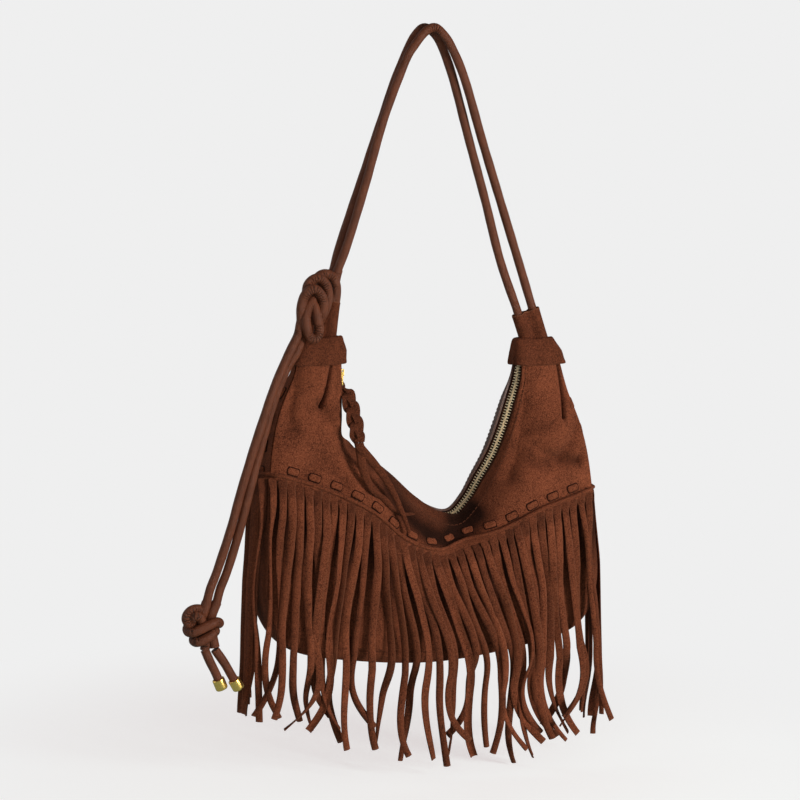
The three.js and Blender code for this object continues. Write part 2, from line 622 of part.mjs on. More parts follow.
// Cords. Each route is a list of points chosen by hand, with its sections a set way apart.
function cord(points, spacing, sides = 8) {
  const path = through(points.map((p) => (Array.isArray(p) ? v3(...p) : p)));
  const section = new THREE.Shape();
  for (let k = 0; k < sides; k += 1) {
    const angle = (2 * Math.PI * (k + 0.5)) / sides;
    const r = CORD_DIAMETER / 2;
    if (k) section.lineTo(r * Math.cos(angle), r * Math.sin(angle));
    else section.moveTo(r * Math.cos(angle), r * Math.sin(angle));
  }
  const steps = Math.max(2, Math.round(path.getLength() / spacing));
  return new THREE.ExtrudeGeometry(section, { steps, bevelEnabled: false, extrudePath: path });
}
// A place in a sleeve's channel: how far down from its top, and which channel.
function inChannel(ear, side, down) {
  const frame = sleeveFrame(ear);
  return frame.top.addScaledVector(frame.right, (side * CHANNEL_SPACING) / 2).addScaledVector(frame.down, down);
}
const STRAP_OUTER = [
  inChannel(RIGHT_EAR, 1, RIGHT_EAR.sleeve - 2), inChannel(RIGHT_EAR, 1, 18), inChannel(RIGHT_EAR, 1, -4),
  [91.8, -1, -208.6], [72.6, -3, -152.7], [54.2, -4, -97.7], [36.9, -5, -43.4], [24.2, -5, -14.7],
  [15.9, -5, -2.6], [7.7, -5, 3.6], [-1.4, -5, 0], [-11, -5, -11.1], [-21, -5, -27.2], [-41.2, -4, -78.7],
  [-56.9, -3, -132.2], [-73.5, -1, -185.9], [-83.2, 0.3, -212.1],
];
const STRAP_INNER = [
  inChannel(RIGHT_EAR, -1, RIGHT_EAR.sleeve - 2), inChannel(RIGHT_EAR, -1, 18), inChannel(RIGHT_EAR, -1, -4),
  [74.6, 1, -208.3], [59.8, 2, -152.7], [44.2, 3, -97.8], [29.2, 4, -43.4], [19.3, 5, -15.6], [11.5, 5, -2.5],
  [1.4, 5, 3.6], [-7.2, 5, -3], [-14.2, 5, -14.7], [-26.9, 5, -43.3], [-39.9, 5, -79], [-58.7, 6, -132.6],
  [-77.3, 8, -186.4], [-85.2, 8.3, -213.8],
];
add('strap_cord_outer', cord(STRAP_OUTER, 16), cordLeather);
add('strap_cord_inner', cord(STRAP_INNER, 16), cordLeather);

// The upper knot: both cords wrapped over themselves above the left sleeve, drawn up tight, and
// then led down the sleeve's two channels.
const UPPER_KNOT = [
  [inChannel(LEFT_EAR, 1, 24), inChannel(LEFT_EAR, 1, 12), inChannel(LEFT_EAR, 1, 0), [-85.5, -4, -228], [-92, -8, -217],
    [-99, -9, -214], [-107, -7, -219], [-113, -4, -226], [-117, -5, -236]],
  [inChannel(LEFT_EAR, -1, 24), inChannel(LEFT_EAR, -1, 12), inChannel(LEFT_EAR, -1, 0), [-99, -1, -227], [-93, -1, -218],
    [-86, 1, -214]],
  [[-104, -13, -252], [-97, -15, -238], [-98, -16, -226], [-106, -15, -219], [-115, -13, -224], [-121, -10, -235],
    [-121, -9, -250], [-121, -9, -259]],
  [[-106, -18, -252], [-101, -22, -240], [-104, -23, -231], [-112, -22, -226], [-120, -21, -230], [-125, -20, -242],
    [-125, -18, -257]],
  [[-110, -14, -236], [-114, -18, -252], [-116, -21, -266], [-116, -20, -274], [-112, -16, -271], [-111, -14, -260]],
  [[-106, -12, -238], [-105, -15, -254], [-105, -17, -264], [-103, -15.5, -268], [-101, -14, -261], [-102, -13, -250]],
];
function knot(runs) {
  return fromSolid(runs.map((run) => solid(cord(run, 9))).reduce((whole, run) => whole.add(run)));
}
add('upper_knot', knot(UPPER_KNOT), cordLeather);

// The tails, down from the upper knot to the lower one and on to their caps.
const TAIL_OUTER = [
  [-125.1, -18, -258.6], [-127.5, -18.5, -268], [-134.9, -20, -280.9], [-144, -22, -298.2], [-151.9, -23, -315.7],
  [-158.8, -24, -333.2], [-171.5, -25, -368.3], [-182.6, -24, -403.8], [-193.1, -24, -439.3], [-205.5, -24, -474.7],
  [-212, -24, -490.5], [-215.1, -24, -501.1],
];
const TAIL_INNER = [
  [-121.1, -9.1, -260.1], [-121.6, -9.6, -266], [-122.5, -11.5, -273], [-124.0, -19.5, -283.2],
  [-130.8, -21.5, -298.9], [-139.8, -24.5, -316.1], [-147.7, -27.0, -333.3], [-162.0, -29.0, -368.2],
  [-175.1, -28.5, -403.5], [-184.4, -27, -439.4], [-196.2, -24.0, -475.3], [-202.7, -23.5, -491.3], [-205.9, -23.3, -502.5],
];
add('tail_cord_outer', cord(TAIL_OUTER, 20), cordLeather);
add('tail_cord_inner', cord(TAIL_INNER, 20), cordLeather);
const LOWER_KNOT = [
  [[-215.7, -24, -503], [-215, -27, -513], [-218, -29, -526], [-222, -26, -536], [-218, -22, -545]],
  [[-206.3, -23.4, -503.9], [-207, -26, -516], [-212, -27, -533], [-209, -24, -545]],
  [[-221, -24, -526], [-229, -24, -519], [-230, -24, -509], [-222, -25, -504], [-214, -27, -510]],
  [[-230, -24, -530], [-219, -31, -529], [-206, -32, -522], [-200, -26, -517], [-204, -18, -522], [-218, -17, -530],
    [-228, -20, -533]],
  [[-224, -24, -542], [-214, -31, -540], [-204, -30, -534], [-201, -23, -531], [-208, -17, -536], [-220, -18, -542]],
];
add('lower_knot', knot(LOWER_KNOT), cordLeather);

// Each tail's end, and the metal cup over it.
const TAIL_ENDS = {
  outer: [[-217.2, -21.2, -547.2], [-213, -23, -558], [-208, -24, -569], [-204.1, -24, -579]],
  inner: [[-208.5, -23.5, -547], [-200, -24, -560], [-194, -24, -571], [-188.9, -24, -580.5]],
};
for (const [name, points] of Object.entries(TAIL_ENDS)) {
  const [before, centre] = points.slice(-2).map((p) => v3(...p));
  const down = centre.clone().sub(before).normalize();
  const tip = centre.clone().addScaledVector(down, CAP_LENGTH / 2 - CAP_WALL - SEAM_GAP);
  add(`tail_end_${name}`, cord([...points.slice(0, -1), tip], 10), cordLeather);
  const r = CAP_DIAMETER / 2;
  const bore = CORD_DIAMETER / 2 + SEAM_GAP;
  const profile = [
    [0, 0], [r - 0.8, 0], [r, 0.8], [r, CAP_LENGTH], [bore, CAP_LENGTH], [bore, CAP_WALL], [0, CAP_WALL],
  ].map(([x, y]) => new THREE.Vector2(x, y));
  const cup = new THREE.LatheGeometry(profile, 16);
  const turn = new THREE.Quaternion().setFromUnitVectors(v3(0, 1, 0), down.clone().negate());
  const foot = centre.clone().addScaledVector(down, CAP_LENGTH / 2);
  add(`cord_cap_${name}`, cup.applyQuaternion(turn).translate(...foot), gold);
}

// A place on the gusset by its depth and height, with its outward normal.
function atHeight(side, z) {
  let [low, high] = side < 0 ? [0, 0.5] : [1, 0.5];
  for (let turn = 0; turn < 24; turn += 1) {
    const middle = (low + high) / 2;
    if (edgeCurve.getPoint(middle).z > z) low = middle;
    else high = middle;
  }
  return low;
}
function overSide(side, y, z, lift) {
  const s = atHeight(side, z);
  const front = gussetPoint(s, 0).y;
  const v = (y - front) / (gussetPoint(s, 1).y - front);
  const along = gussetPoint(s + 0.01, v).sub(gussetPoint(s - 0.01, v));
  const over = gussetPoint(s, v + 0.1).sub(gussetPoint(s, v - 0.1));
  const normal = over.cross(along).normalize();
  return { point: gussetPoint(s, v).addScaledVector(normal, lift), normal };
}

// The fringe: one strip of suede sewn across the front and round both sides, and cut below its
// header into strands that lie on the bag and then hang.
function fringe() {
  const lift = SUEDE_THICK / 2 + STRAND_THICK / 2 + 2.5 * SEAM_GAP;
  const strands = [];
  const sideStrand = (side, k) => {
    const y = SIDE_FRINGE_FRONT + k * STRAND_PITCH;
    const z = SEAM.getPoint(side < 0 ? 0 : 1).z;
    const at = (aside, drop) => overSide(side, y + side * aside, z - drop, lift + 0.4);
    strands.push({ at, z, y, over: v3(0, side, 0), out: v3(side, 0, 0), side, length: STRAND_LENGTH_SIDE });
  };
  const corner = (side) => {
    const z = SEAM.getPoint(side < 0 ? 0 : 1).z;
    const corners = [0, HEADER_HEIGHT].map((drop) => {
      const { x, y } = facePoint(1, atHeight(side, z - drop), 1);
      return v3(x + side * CORNER_ROOM, y - CORNER_ROOM, z - drop);
    });
    strands.push({ corners, out: v3(side, -1, 0).normalize() });
  };
  for (let k = SIDE_STRANDS - 1; k >= 0; k -= 1) sideStrand(-1, k);
  corner(-1);
  const count = Math.floor((SEAM.getLength() - STRAND_WIDTH) / STRAND_PITCH) + 1;
  for (let i = 0; i < count; i += 1) {
    const arc = SEAM.getLength() / 2 + (i - (count - 1) / 2) * STRAND_PITCH;
    const place = (aside) => SEAM.getPointAt(clamp01((arc + aside) / SEAM.getLength()));
    const at = (aside, drop) => overFront(place(aside).x, place(aside).z - drop, lift);
    const { x, z } = place(0);
    const sideways = (x - MIDDLE_X) / BODY_HALF_WIDTH;
    const length = mix(STRAND_LENGTH_MIDDLE, STRAND_LENGTH_SIDE, sideways ** 2);
    strands.push({ at, x, z, over: v3(1, 0, 0), out: v3(0, -1, 0), side: 0, sideways, length });
  }
  corner(1);
  for (let k = 0; k < SIDE_STRANDS; k += 1) sideStrand(1, k);

  const points = [];
  const pair = (point, normal) => {
    points.push(point.clone().addScaledVector(normal, STRAND_THICK / 2));
    points.push(point.clone().addScaledVector(normal, -STRAND_THICK / 2));
    return points.length - 2;
  };
  const triangles = [];
  const quad = (a, b, c, d) => triangles.push([a, b, c], [a, c, d]);
  // One piece of strip, between the pairs down its left side and the pairs down its right.
  const piece = (left, right) => {
    for (let k = 0; k + 1 < left.length; k += 1) {
      quad(left[k], left[k + 1], right[k + 1], right[k]);
      quad(left[k] + 1, right[k] + 1, right[k + 1] + 1, left[k + 1] + 1);
    }
  };
  const wall = (a, b) => quad(b, a, a + 1, b + 1);
  let before = null;
  for (const { at, x, y, z, over, out, side, sideways, length, corners } of strands) {
    if (corners) {
      const turn = corners.map((point) => pair(point, out));
      piece(before, turn);
      wall(turn[0], before[0]);
      wall(before[1], turn[1]);
      before = turn;
      continue;
    }
    const header = [-1, 1].map((edge) =>
      [0, HEADER_HEIGHT].map((drop) => {
        const { point, normal } = at((edge * STRAND_WIDTH) / 2, drop);
        return pair(point, normal);
      }),
    );
    if (before) {
      piece(before, header[0]);
      wall(header[0][0], before[0]);
      wall(before[1], header[0][1]);
    } else {
      wall(header[0][0], header[0][1]);
    }
    piece(header[0], header[1]);
    wall(header[1][0], header[0][0]);
    before = header[1];
    const left = [header[0][1]];
    const right = [header[1][1]];
    let reach = -Infinity;
    for (const share of [0.12, 0.3, 0.52, 0.76, 1]) {
      const down = z - HEADER_HEIGHT - share * (length - HEADER_HEIGHT);
      const rest = Math.max(down, BOTTOM_Z + (side ? 60 : 8));
      const aside = side ? y : x + STRAND_SPLAY * sideways * Math.abs(sideways) * share ** 1.4;
      const { point } = side ? overSide(side, aside, rest, lift) : overFront(aside, rest, lift);
      reach = Math.max(reach, point.dot(out) + STRAND_LOFT);
      const centre = side ? v3(side * reach, aside, down) : v3(aside, -reach, down);
      left.push(pair(centre.clone().addScaledVector(over, -STRAND_WIDTH / 2), out));
      right.push(pair(centre.clone().addScaledVector(over, STRAND_WIDTH / 2), out));
    }
    piece(left, right);
    for (let k = 0; k + 1 < left.length; k += 1) {
      wall(left[k], left[k + 1]);
      wall(right[k + 1], right[k]);
    }
    wall(left.at(-1), right.at(-1));
  }
  wall(before[1], before[0]);
  return closedGeometry(points, triangles);
}
add('fringe_strip', fringe(), suede);

// The plaited pull below the tab, and its two loose tails, which lie on the bag.
const toFront = v3(0, -1, 0);
const PULL = [
  [-79.4, -0.5, -319.2, 5, 5], [-76.4, -4, -326, 10, 7], [-74.4, -9, -337, PULL_WIDTH, PULL_DEPTH],
  [-72, -13, -351, PULL_WIDTH, PULL_DEPTH], [-69.5, -15.5, -366, PULL_WIDTH, PULL_DEPTH],
];
add('pull_plait', strip(PULL.map(([x, y, z, width, thick]) => ({ point: v3(x, y, z), normal: toFront, width, thick }))), suede);
function pullTail(free, lying, width) {
  const stops = free.map((p) => ({ point: v3(...p), normal: toFront, width, thick: 2 }));
  for (const [x, z] of lying) {
    stops.push({ ...overFront(x, z, SUEDE_THICK / 2 + 1 + 2 * SEAM_GAP), width, thick: 2 });
  }
  return solid(strip(stops));
}
const longTail = pullTail(
  [[-69.3, -14.6, -366.7], [-68.6, -15.4, -371], [-67, -21, -392], [-60, -27, -410]],
  [[-51, -421], [-41, -432], [-30, -437], [-19, -438]],
  7,
);
const shortTail = pullTail(
  [[-69.2, -16.6, -366.7], [-68.4, -17.4, -371], [-57, -20, -386], [-48, -23, -400], [-40, -26, -416], [-32, -33.5, -438], [-29, -38.5, -450]],
  [],
  7,
);
add('pull_tails', fromSolid(longTail.add(shortTail)), suede);

export default bag;
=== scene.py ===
"""A slouching suede hobo bag with a cut fringe, dressed round its packed construction model.

Everything is in metres: +X to the bag's right as seen from the front, -Y to the front, +Z up,
with the origin under the top of the strap. Tables of points are in millimetres, which mm() turns
into metres. s is a share of the way round the bag, along the zip from the left ear down under the
body and up to the right ear. t is a share of the way from the zip to the body's outer edge.
"""

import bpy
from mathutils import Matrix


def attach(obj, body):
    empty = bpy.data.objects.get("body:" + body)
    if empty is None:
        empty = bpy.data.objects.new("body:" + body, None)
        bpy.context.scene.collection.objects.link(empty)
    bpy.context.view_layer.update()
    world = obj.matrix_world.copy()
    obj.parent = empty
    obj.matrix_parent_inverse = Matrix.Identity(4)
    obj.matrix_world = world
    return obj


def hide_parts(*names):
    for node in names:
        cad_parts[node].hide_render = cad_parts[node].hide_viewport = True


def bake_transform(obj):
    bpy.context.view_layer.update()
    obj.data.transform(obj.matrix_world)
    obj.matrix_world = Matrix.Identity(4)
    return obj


bl_info = {
    "name": "Fringed Suede Bag",
    "version": (1, 0, 0),
    "blender": (4, 5, 0),
    "location": "View3D > Sidebar > Bag",
    "description": "Suede body, laces, fringe, zip and knotted cord strap of a fringed shoulder bag",
    "category": "Add Mesh",
}

import math

import bpy
import numpy as np
from bpy.props import FloatProperty, FloatVectorProperty, IntProperty, PointerProperty
from mathutils import Vector

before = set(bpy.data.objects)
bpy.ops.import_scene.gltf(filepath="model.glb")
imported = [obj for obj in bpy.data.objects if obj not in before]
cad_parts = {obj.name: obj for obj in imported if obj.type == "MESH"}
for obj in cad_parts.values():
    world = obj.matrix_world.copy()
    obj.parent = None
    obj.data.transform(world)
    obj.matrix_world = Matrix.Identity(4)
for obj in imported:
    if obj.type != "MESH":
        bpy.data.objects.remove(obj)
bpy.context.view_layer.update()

FRONT = np.array([0, -1.0, 0])
RIGHT = np.array([1.0, 0, 0])

# ---------------------------------------------------------------- curves and grids


def mm(*values):
    """Numbers or points given in millimetres, as an array in metres."""
    return np.array(values, float) / 1000


def unit(v):
    """Vectors scaled to length one."""
    return v / np.maximum(np.linalg.norm(v, axis=-1, keepdims=True), 1e-12)


def dot(a, b):
    """Dot product along the last axis, kept as an axis."""
    return (a * b).sum(-1, keepdims=True)


def ease(t):
    """Smooth step from 0 to 1: 3t^2 - 2t^3."""
    t = np.clip(t, 0, 1)
    return t * t * (3 - 2 * t)


def bell(x, width):
    """1 at x 0, falling off both ways as exp(-(x / width)^2)."""
    return np.exp(-((x / width) ** 2))


def through(points, t):
    """A curve through points at t from 0 to 1: in each span a cubic whose slope at a point is half
    the way from its neighbour before to its neighbour after, with the ends carried straight on."""
    p = np.asarray(points, float)
    p = np.vstack([2 * p[0] - p[1], p, 2 * p[-1] - p[-2]])
    x = np.clip(np.asarray(t, float), 0, 1) * (len(p) - 3)
    i = np.minimum(x.astype(int), len(p) - 4)
    w = (x - i)[..., None]
    a, b, c, d = p[i], p[i + 1], p[i + 2], p[i + 3]
    return b + 0.5 * w * (c - a + w * (2 * a - 5 * b + 4 * c - d + w * (3 * b - 3 * c + d - a)))


def runs(path):
    """How far along a path each of its points is."""
    return np.concatenate([[0], np.cumsum(np.linalg.norm(np.diff(path, axis=0), axis=1))])


def length_of(path):
    """Arc length of a path of points."""
    return float(runs(path)[-1])


def at_runs(arcs, run, rows):
    """Rows at distances along a path, straight between the rows that belong to its points."""
    return np.stack([np.interp(arcs, run, column) for column in rows.T], -1)


def evenly(path, count):
    """A set number of points evenly along a polyline."""
    run = runs(path)
    return at_runs(np.linspace(0, run[-1], count), run, path)


def spaced(points, spacing):
    """Points a set way apart along the curve through a list: dense samples, then even arc length."""
    dense = through(points, np.linspace(0, 1, 400))
    return evenly(dense, max(3, int(round(length_of(dense) / spacing)) + 1))


def tangents(path):
    """Directions along a path, from each point's two neighbours."""
    return unit(np.gradient(path, axis=0))


def carried_sides(path, first):
    """Two side directions for each point of a path, turned no more than the path itself turns."""
    along = tangents(path)
    side = unit(np.cross(along[0], first))
    sides = [side]
    for now in along[1:]:
        side = unit(side - now * (side @ now))
        sides.append(side)
    sides = np.array(sides)
    return sides, np.cross(along, sides)


def tube(path, radius, corners, first=(0.31, 0.92, 0.23)):
    """Circles of a radius carried along a path: centre + r (side cos a + up sin a). first is a way
    that the path doesn't start along."""
    side, up = carried_sides(path, np.array(first))
    angle = np.linspace(0, 2 * math.pi, corners, endpoint=False)[None, :, None]
    r = np.broadcast_to(radius, (len(path),))[:, None, None]
    return path[:, None] + r * (side[:, None] * np.cos(angle) + up[:, None] * np.sin(angle))


def ribbon(path, over, width, thick, cup, across):
    """A leather strip: for each point of a path, a flat lens of a width and thickness, with a number
    of points across it. over is the way across it. The middle is lifted by cup, and the strip thins
    towards its edges as 1 - 0.45 w^4, w from -1 to 1 across it."""
    along = tangents(path)
    over = unit(over - dot(over, along) * along)
    out = np.cross(along, over)[:, None]
    w = np.linspace(-1, 1, across)[None, :, None]
    width, thick, cup = (np.broadcast_to(v, (len(path),))[:, None, None] for v in (width, thick, cup))
    middle = path[:, None] + over[:, None] * w * width / 2 + out * cup * (1 - w**2)
    half = out * thick / 2 * (1 - 0.45 * w**4)
    return np.concatenate([middle + half, (middle - half)[:, ::-1]], 1)


def shell(middle, normal, thick):
    """A sheet with thickness as a loft: its outer row and, back again, its inner row."""
    half = normal * thick / 2
    return np.concatenate([middle + half, (middle - half)[:, ::-1]], 1)


def grid_normals(grid):
    """Normals of a grid of points: the cross product of its two directions."""
    return unit(np.cross(np.gradient(grid, axis=1), np.gradient(grid, axis=0)))


def turned_to(normals, way):
    """Normals turned over all together if they point against a way on average."""
    return normals * np.sign(dot(normals, way).mean())


def turned_each(normals, way):
    """Normals turned over one by one where they point against a way."""
    return normals * np.where(dot(normals, way) < 0, -1, 1)


def loft_faces(rows, ring, looped):
    """Quads between each ring and the next, and at open ends strips across from one half of the
    ring to the other."""
    i = np.arange(rows if looped else rows - 1)[:, None]
    j = np.arange(ring)[None, :]
    here, after = i * ring, ((i + 1) % rows) * ring
    corners = (here + j, here + (j + 1) % ring, after + (j + 1) % ring, after + j)
    quads = [np.stack(corners, -1).reshape(-1, 4)]
    if not looped:
        k = np.arange(ring // 2 - 1)
        cap = np.stack([k, ring - 1 - k, ring - 2 - k, k + 1], -1)
        quads += [cap, (rows - 1) * ring + cap[:, ::-1]]
    return np.concatenate(quads)


def loft_uv(grid, looped):
    """U and V of each quad's corners, in metres: along the loft and round its rings."""
    rows, ring = grid.shape[:2]
    along = np.linalg.norm(np.diff(grid, axis=0), axis=-1).mean(1)
    u = np.concatenate([[0], np.cumsum(along)])
    if looped:
        u = np.append(u, u[-1] + along.mean())
    closed = np.concatenate([grid, grid[:, :1]], 1)
    v = np.concatenate([[0], np.cumsum(np.linalg.norm(np.diff(closed, axis=1), axis=-1).mean(0))])
    i = np.arange(rows if looped else rows - 1)[:, None]
    j = np.arange(ring)[None, :]
    steps = ((0, 0), (0, 1), (1, 1), (1, 0))
    corners = [np.stack(np.broadcast_arrays(u[i + p], v[j + q]), -1) for p, q in steps]
    uv = np.stack(corners, -2).reshape(-1, 4, 2)
    if not looped:
        uv = np.concatenate([uv, np.zeros((2 * (ring // 2 - 1), 4, 2))])
    return uv


def volume_of(points, quads):
    """Six times the signed volume of closed quads, as two triangles each."""
    a, b, c, d = (points[quads[:, k]] for k in range(4))
    return (a * (np.cross(b, c) + np.cross(c, d))).sum()


def make_piece(name, lofts, material, slot, body="bag", replaces=(), looped=False, marks=None, sharp=50):
    """One mesh object from lofts, each a grid of rings. Its place is in its mesh and its faces point
    out. marks gives a number for each point, kept as point attributes for the material. Edges
    sharper than sharp degrees stay sharp."""
    points, quads, uvs, start = [], [], [], 0
    for grid in lofts:
        flat = grid.reshape(-1, 3)
        faces = loft_faces(*grid.shape[:2], looped)
        uv = loft_uv(grid, looped)
        if volume_of(flat - flat.mean(0), faces) < 0:
            faces, uv = faces[:, ::-1], uv[:, ::-1]
        points.append(flat)
        quads.append(faces + start)
        uvs.append(uv)
        start += len(flat)
    points, quads, uvs = np.concatenate(points), np.concatenate(quads), np.concatenate(uvs)
    mesh = bpy.data.meshes.new(name)
    mesh.vertices.add(len(points))
    mesh.vertices.foreach_set("co", points.astype(np.float32).ravel())
    mesh.loops.add(quads.size)
    mesh.loops.foreach_set("vertex_index", quads.astype(np.int32).ravel())
    mesh.polygons.add(len(quads))
    mesh.polygons.foreach_set("loop_start", np.arange(0, quads.size, 4, dtype=np.int32))
    mesh.polygons.foreach_set("loop_total", np.full(len(quads), 4, dtype=np.int32))
    mesh.update(calc_edges=True)
    layer = mesh.uv_layers.new(name="UVMap")
    layer.data.foreach_set("uv", uvs.astype(np.float32).ravel())
    for label, values in (marks or {}).items():
        attribute = mesh.attributes.new(label, "FLOAT", "POINT")
        values = np.concatenate([np.ravel(v) for v in values])
        attribute.data.foreach_set("value", values.astype(np.float32))
    mesh.validate()
    mesh.shade_smooth()
    mesh.set_sharp_from_angle(angle=math.radians(sharp))
    mesh.materials.append(material)
    piece = bpy.data.objects.new(name, mesh)
    bpy.context.scene.collection.objects.link(piece)
    if body:
        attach(piece, body)
    if replaces:
        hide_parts(*replaces)
    return piece


# ---------------------------------------------------------------- the body's shape

# Stations round the bag from the left ear under the body to the right ear: the zip's line, the way
# over it to the front, the outer edge (its side and height, or 0 and its share of the bottom), how
# far the face takes to come forward, and the depths of the front face, outer edge and back face.
STATIONS = (
    ((-0.084, 0, -0.287), (0, -1, 0), -1, -0.287, 0.006, 0.0075, 0.006, 0.0075),
    ((-0.084, 0, -0.306), (0, -1, 0), -1, -0.306, 0.006, 0.008, 0.008, 0.0085),
    ((-0.084, 0, -0.325), (0, -1, 0), -1, -0.33, 0.007, 0.01, 0.015, 0.012),
    ((-0.084, 0, -0.344), (0, -1, 0), -1, -0.356, 0.008, 0.012, 0.02, 0.015),
    ((-0.084, 0, -0.363), (0, -1, 0), -1, -0.395, 0.012, 0.015, 0.025, 0.019),
    ((-0.073, 0.005, -0.378), (-0.2, -0.95, -0.3), -1, -0.46, 0.024, 0.02, 0.03, 0.024),
    ((-0.054, 0.009, -0.39), (-0.2, -0.85, -0.5), -1, -0.515, 0.032, 0.024, 0.032, 0.027),
    ((-0.034, 0.011, -0.406), (-0.1, -0.8, -0.55), 0, -0.93, 0.034, 0.027, 0.033, 0.029),
    ((-0.012, 0.012, -0.427), (0, -0.8, -0.55), 0, -0.55, 0.034, 0.029, 0.034, 0.03),
    ((0.012, 0.012, -0.443), (0, -0.8, -0.6), 0, 0, 0.034, 0.03, 0.034, 0.03),
    ((0.031, 0.012, -0.446), (0.1, -0.8, -0.6), 0, 0.55, 0.032, 0.029, 0.034, 0.03),
    ((0.046, 0.01, -0.431), (0.4, -0.8, -0.45), 0, 0.93, 0.03, 0.027, 0.033, 0.028),
    ((0.057, 0.007, -0.411), (0.65, -0.7, -0.35), 1, -0.515, 0.03, 0.025, 0.032, 0.026),
    ((0.068, 0.002, -0.389), (0.75, -0.65, -0.3), 1, -0.46, 0.028, 0.02, 0.03, 0.023),
    ((0.077, -0.002, -0.363), (0.78, -0.62, -0.25), 1, -0.402, 0.025, 0.016, 0.025, 0.02),
    ((0.084, -0.003, -0.34), (0.7, -0.7, -0.2), 1, -0.364, 0.02, 0.013, 0.019, 0.016),
    ((0.091, -0.002, -0.318), (0.45, -0.88, -0.15), 1, -0.331, 0.012, 0.0085, 0.0095, 0.0095),
    ((0.094, 0, -0.296), (0.1, -0.99, -0.02), 1, -0.296, 0.006, 0.0075, 0.005, 0.007),
)
MIDDLE_X = 0.002
BODY_HALF_WIDTH = 0.1595
BODY_HALF_DEPTH = 0.034
NECK_HALF_WIDTH = 0.0185
BOTTOM_Z = -0.574
BOTTOM_RISE = 0.026
CORNER_INSET = 0.011
FACE_SWELL = 0.005
BACK_RISE = 0.018
EDGE_FOLD = 0.014
EDGE_ROUNDING = 0.005
GUSSET_BULGE = 0.003
SUEDE_THICK = 0.0018
SMOOTH_THICK = 0.002
SEAM_GAP = 0.0004
CHAIN_HALF = 0.003
TAPE_SHOWING = 0.0034
PANEL_LIFT = 0.0006
COLLAR_BELOW_NECK = 0.010
COLLAR_HEIGHT = 0.025
# Each ear: its middle at the neck and at the top, the height of both, how fast it widens below the
# collar, the lean of its sleeve in degrees, the sleeve's length and where its collar laps over.
LEFT_EAR = {
    "x": -0.104, "top_x": -0.099, "neck_z": -0.287, "top_z": -0.240,
    "spread": 0.044, "lean": 6.8, "sleeve": 0.042, "lap": 3.6,
}
RIGHT_EAR = {
    "x": 0.112, "top_x": 0.108, "neck_z": -0.296, "top_z": -0.2565,
    "spread": 0.062, "lean": -18.4, "sleeve": 0.036, "lap": 3.75,
}
EARS = {"left": LEFT_EAR, "right": RIGHT_EAR}


def edge_point(side, edge):
    """The outer edge at a station. On the sides the neck's width widens into the body's as
    exp(-(d / spread)^1.25), d below the collar's foot. Along the bottom it is a shallow parabola."""
    if not side:
        reach = edge * (BODY_HALF_WIDTH - CORNER_INSET)
        return (MIDDLE_X + reach, 0, BOTTOM_Z + BOTTOM_RISE * edge * edge)
    ear = LEFT_EAR if side < 0 else RIGHT_EAR
    neck = ear["x"] + side * NECK_HALF_WIDTH
    body = MIDDLE_X + side * BODY_HALF_WIDTH
    below = max(0, ear["neck_z"] - COLLAR_BELOW_NECK - edge)
    share = math.exp(-((below / ear["spread"]) ** 1.25))
    return (body + (neck - body) * share, 0, edge)


ZIP_LINE = np.array([s[0] for s in STATIONS])
ACROSS = np.array([s[1] for s in STATIONS], float)
EDGE_LINE = np.array([edge_point(s[2], s[3]) for s in STATIONS])
RISES = np.array([[s[4]] for s in STATIONS])
DEPTHS = np.array([s[5:8] for s in STATIONS])


def zip_frame(s):
    """The zip at s: its line, the way along it, the way across it to the front, square to it, and
    their cross product, which points out of the bag."""
    h = 1e-4
    along = unit(through(ZIP_LINE, np.minimum(s + h, 1)) - through(ZIP_LINE, np.maximum(s - h, 0)))
    across = through(ACROSS, s)
    across = unit(across - dot(across, along) * along)
    return through(ZIP_LINE, s), along, across, np.cross(across, along)


def face_span(side, s, raised):
    """Where a face starts beside the zip, raised by so much, and where it ends at the outer edge,
    its three depths there, how far apart the two are in x and z, and how far from the zip the face
    has come fully forward."""
    at, _, across, out = zip_frame(s)
    start = at + across * side * (CHAIN_HALF + TAPE_SHOWING) + out * raised
    edge, depth = through(EDGE_LINE, s), through(DEPTHS, s)
    reach = np.hypot(edge[..., 0] - start[..., 0], edge[..., 2] - start[..., 2])
    if side > 0:
        rise = through(RISES, s)[..., 0]
    else:
        rise = BACK_RISE * np.clip(depth[..., 2] / BODY_HALF_DEPTH, 0, 1)
    return start, edge, depth, reach, rise


def face_point(side, s, t):
    """A face of the body, front (1) or back (-1). In x and z it runs straight from the zip to the
    outer edge. In depth it comes out as a quarter ellipse, swells as a half sine, and rounds back
    at the outer edge as a square."""
    s, t = np.broadcast_arrays(np.asarray(s, float), np.asarray(t, float))
    start, edge, depth, reach, rise = face_span(side, s, PANEL_LIFT)
    lift = np.clip(t * reach / rise, 0, 1)
    comes_out = np.sqrt(np.maximum(0, 1 - (1 - lift) ** 2))
    near_edge = np.clip(1 - (1 - t) * reach / EDGE_FOLD, 0, 1)
    fullness = np.clip(depth[..., 0] / BODY_HALF_DEPTH, 0, 1)
    deep = depth[..., 0] if side > 0 else depth[..., 2]
    face = deep + (depth[..., 1] - deep) * t + FACE_SWELL * np.sin(math.pi * t) * fullness
    face = face - EDGE_ROUNDING * near_edge**2 * fullness
    point = start + (edge - start) * t[..., None]
    point[..., 1] = start[..., 1] + (-side * face - start[..., 1]) * comes_out
    return point


def face_rows(side, s, bend, flat):
    """Places down a face: bend of them evenly round the turn beside the zip, the rest after it."""
    _, _, _, reach, rise = face_span(side, s, 0)
    turn = (rise / reach)[..., None]
    first = turn * (1 - np.cos(np.linspace(0, math.pi / 2, bend, endpoint=False)))
    return np.concatenate([first, turn + (1 - turn) * np.linspace(0, 1, flat)], 1)


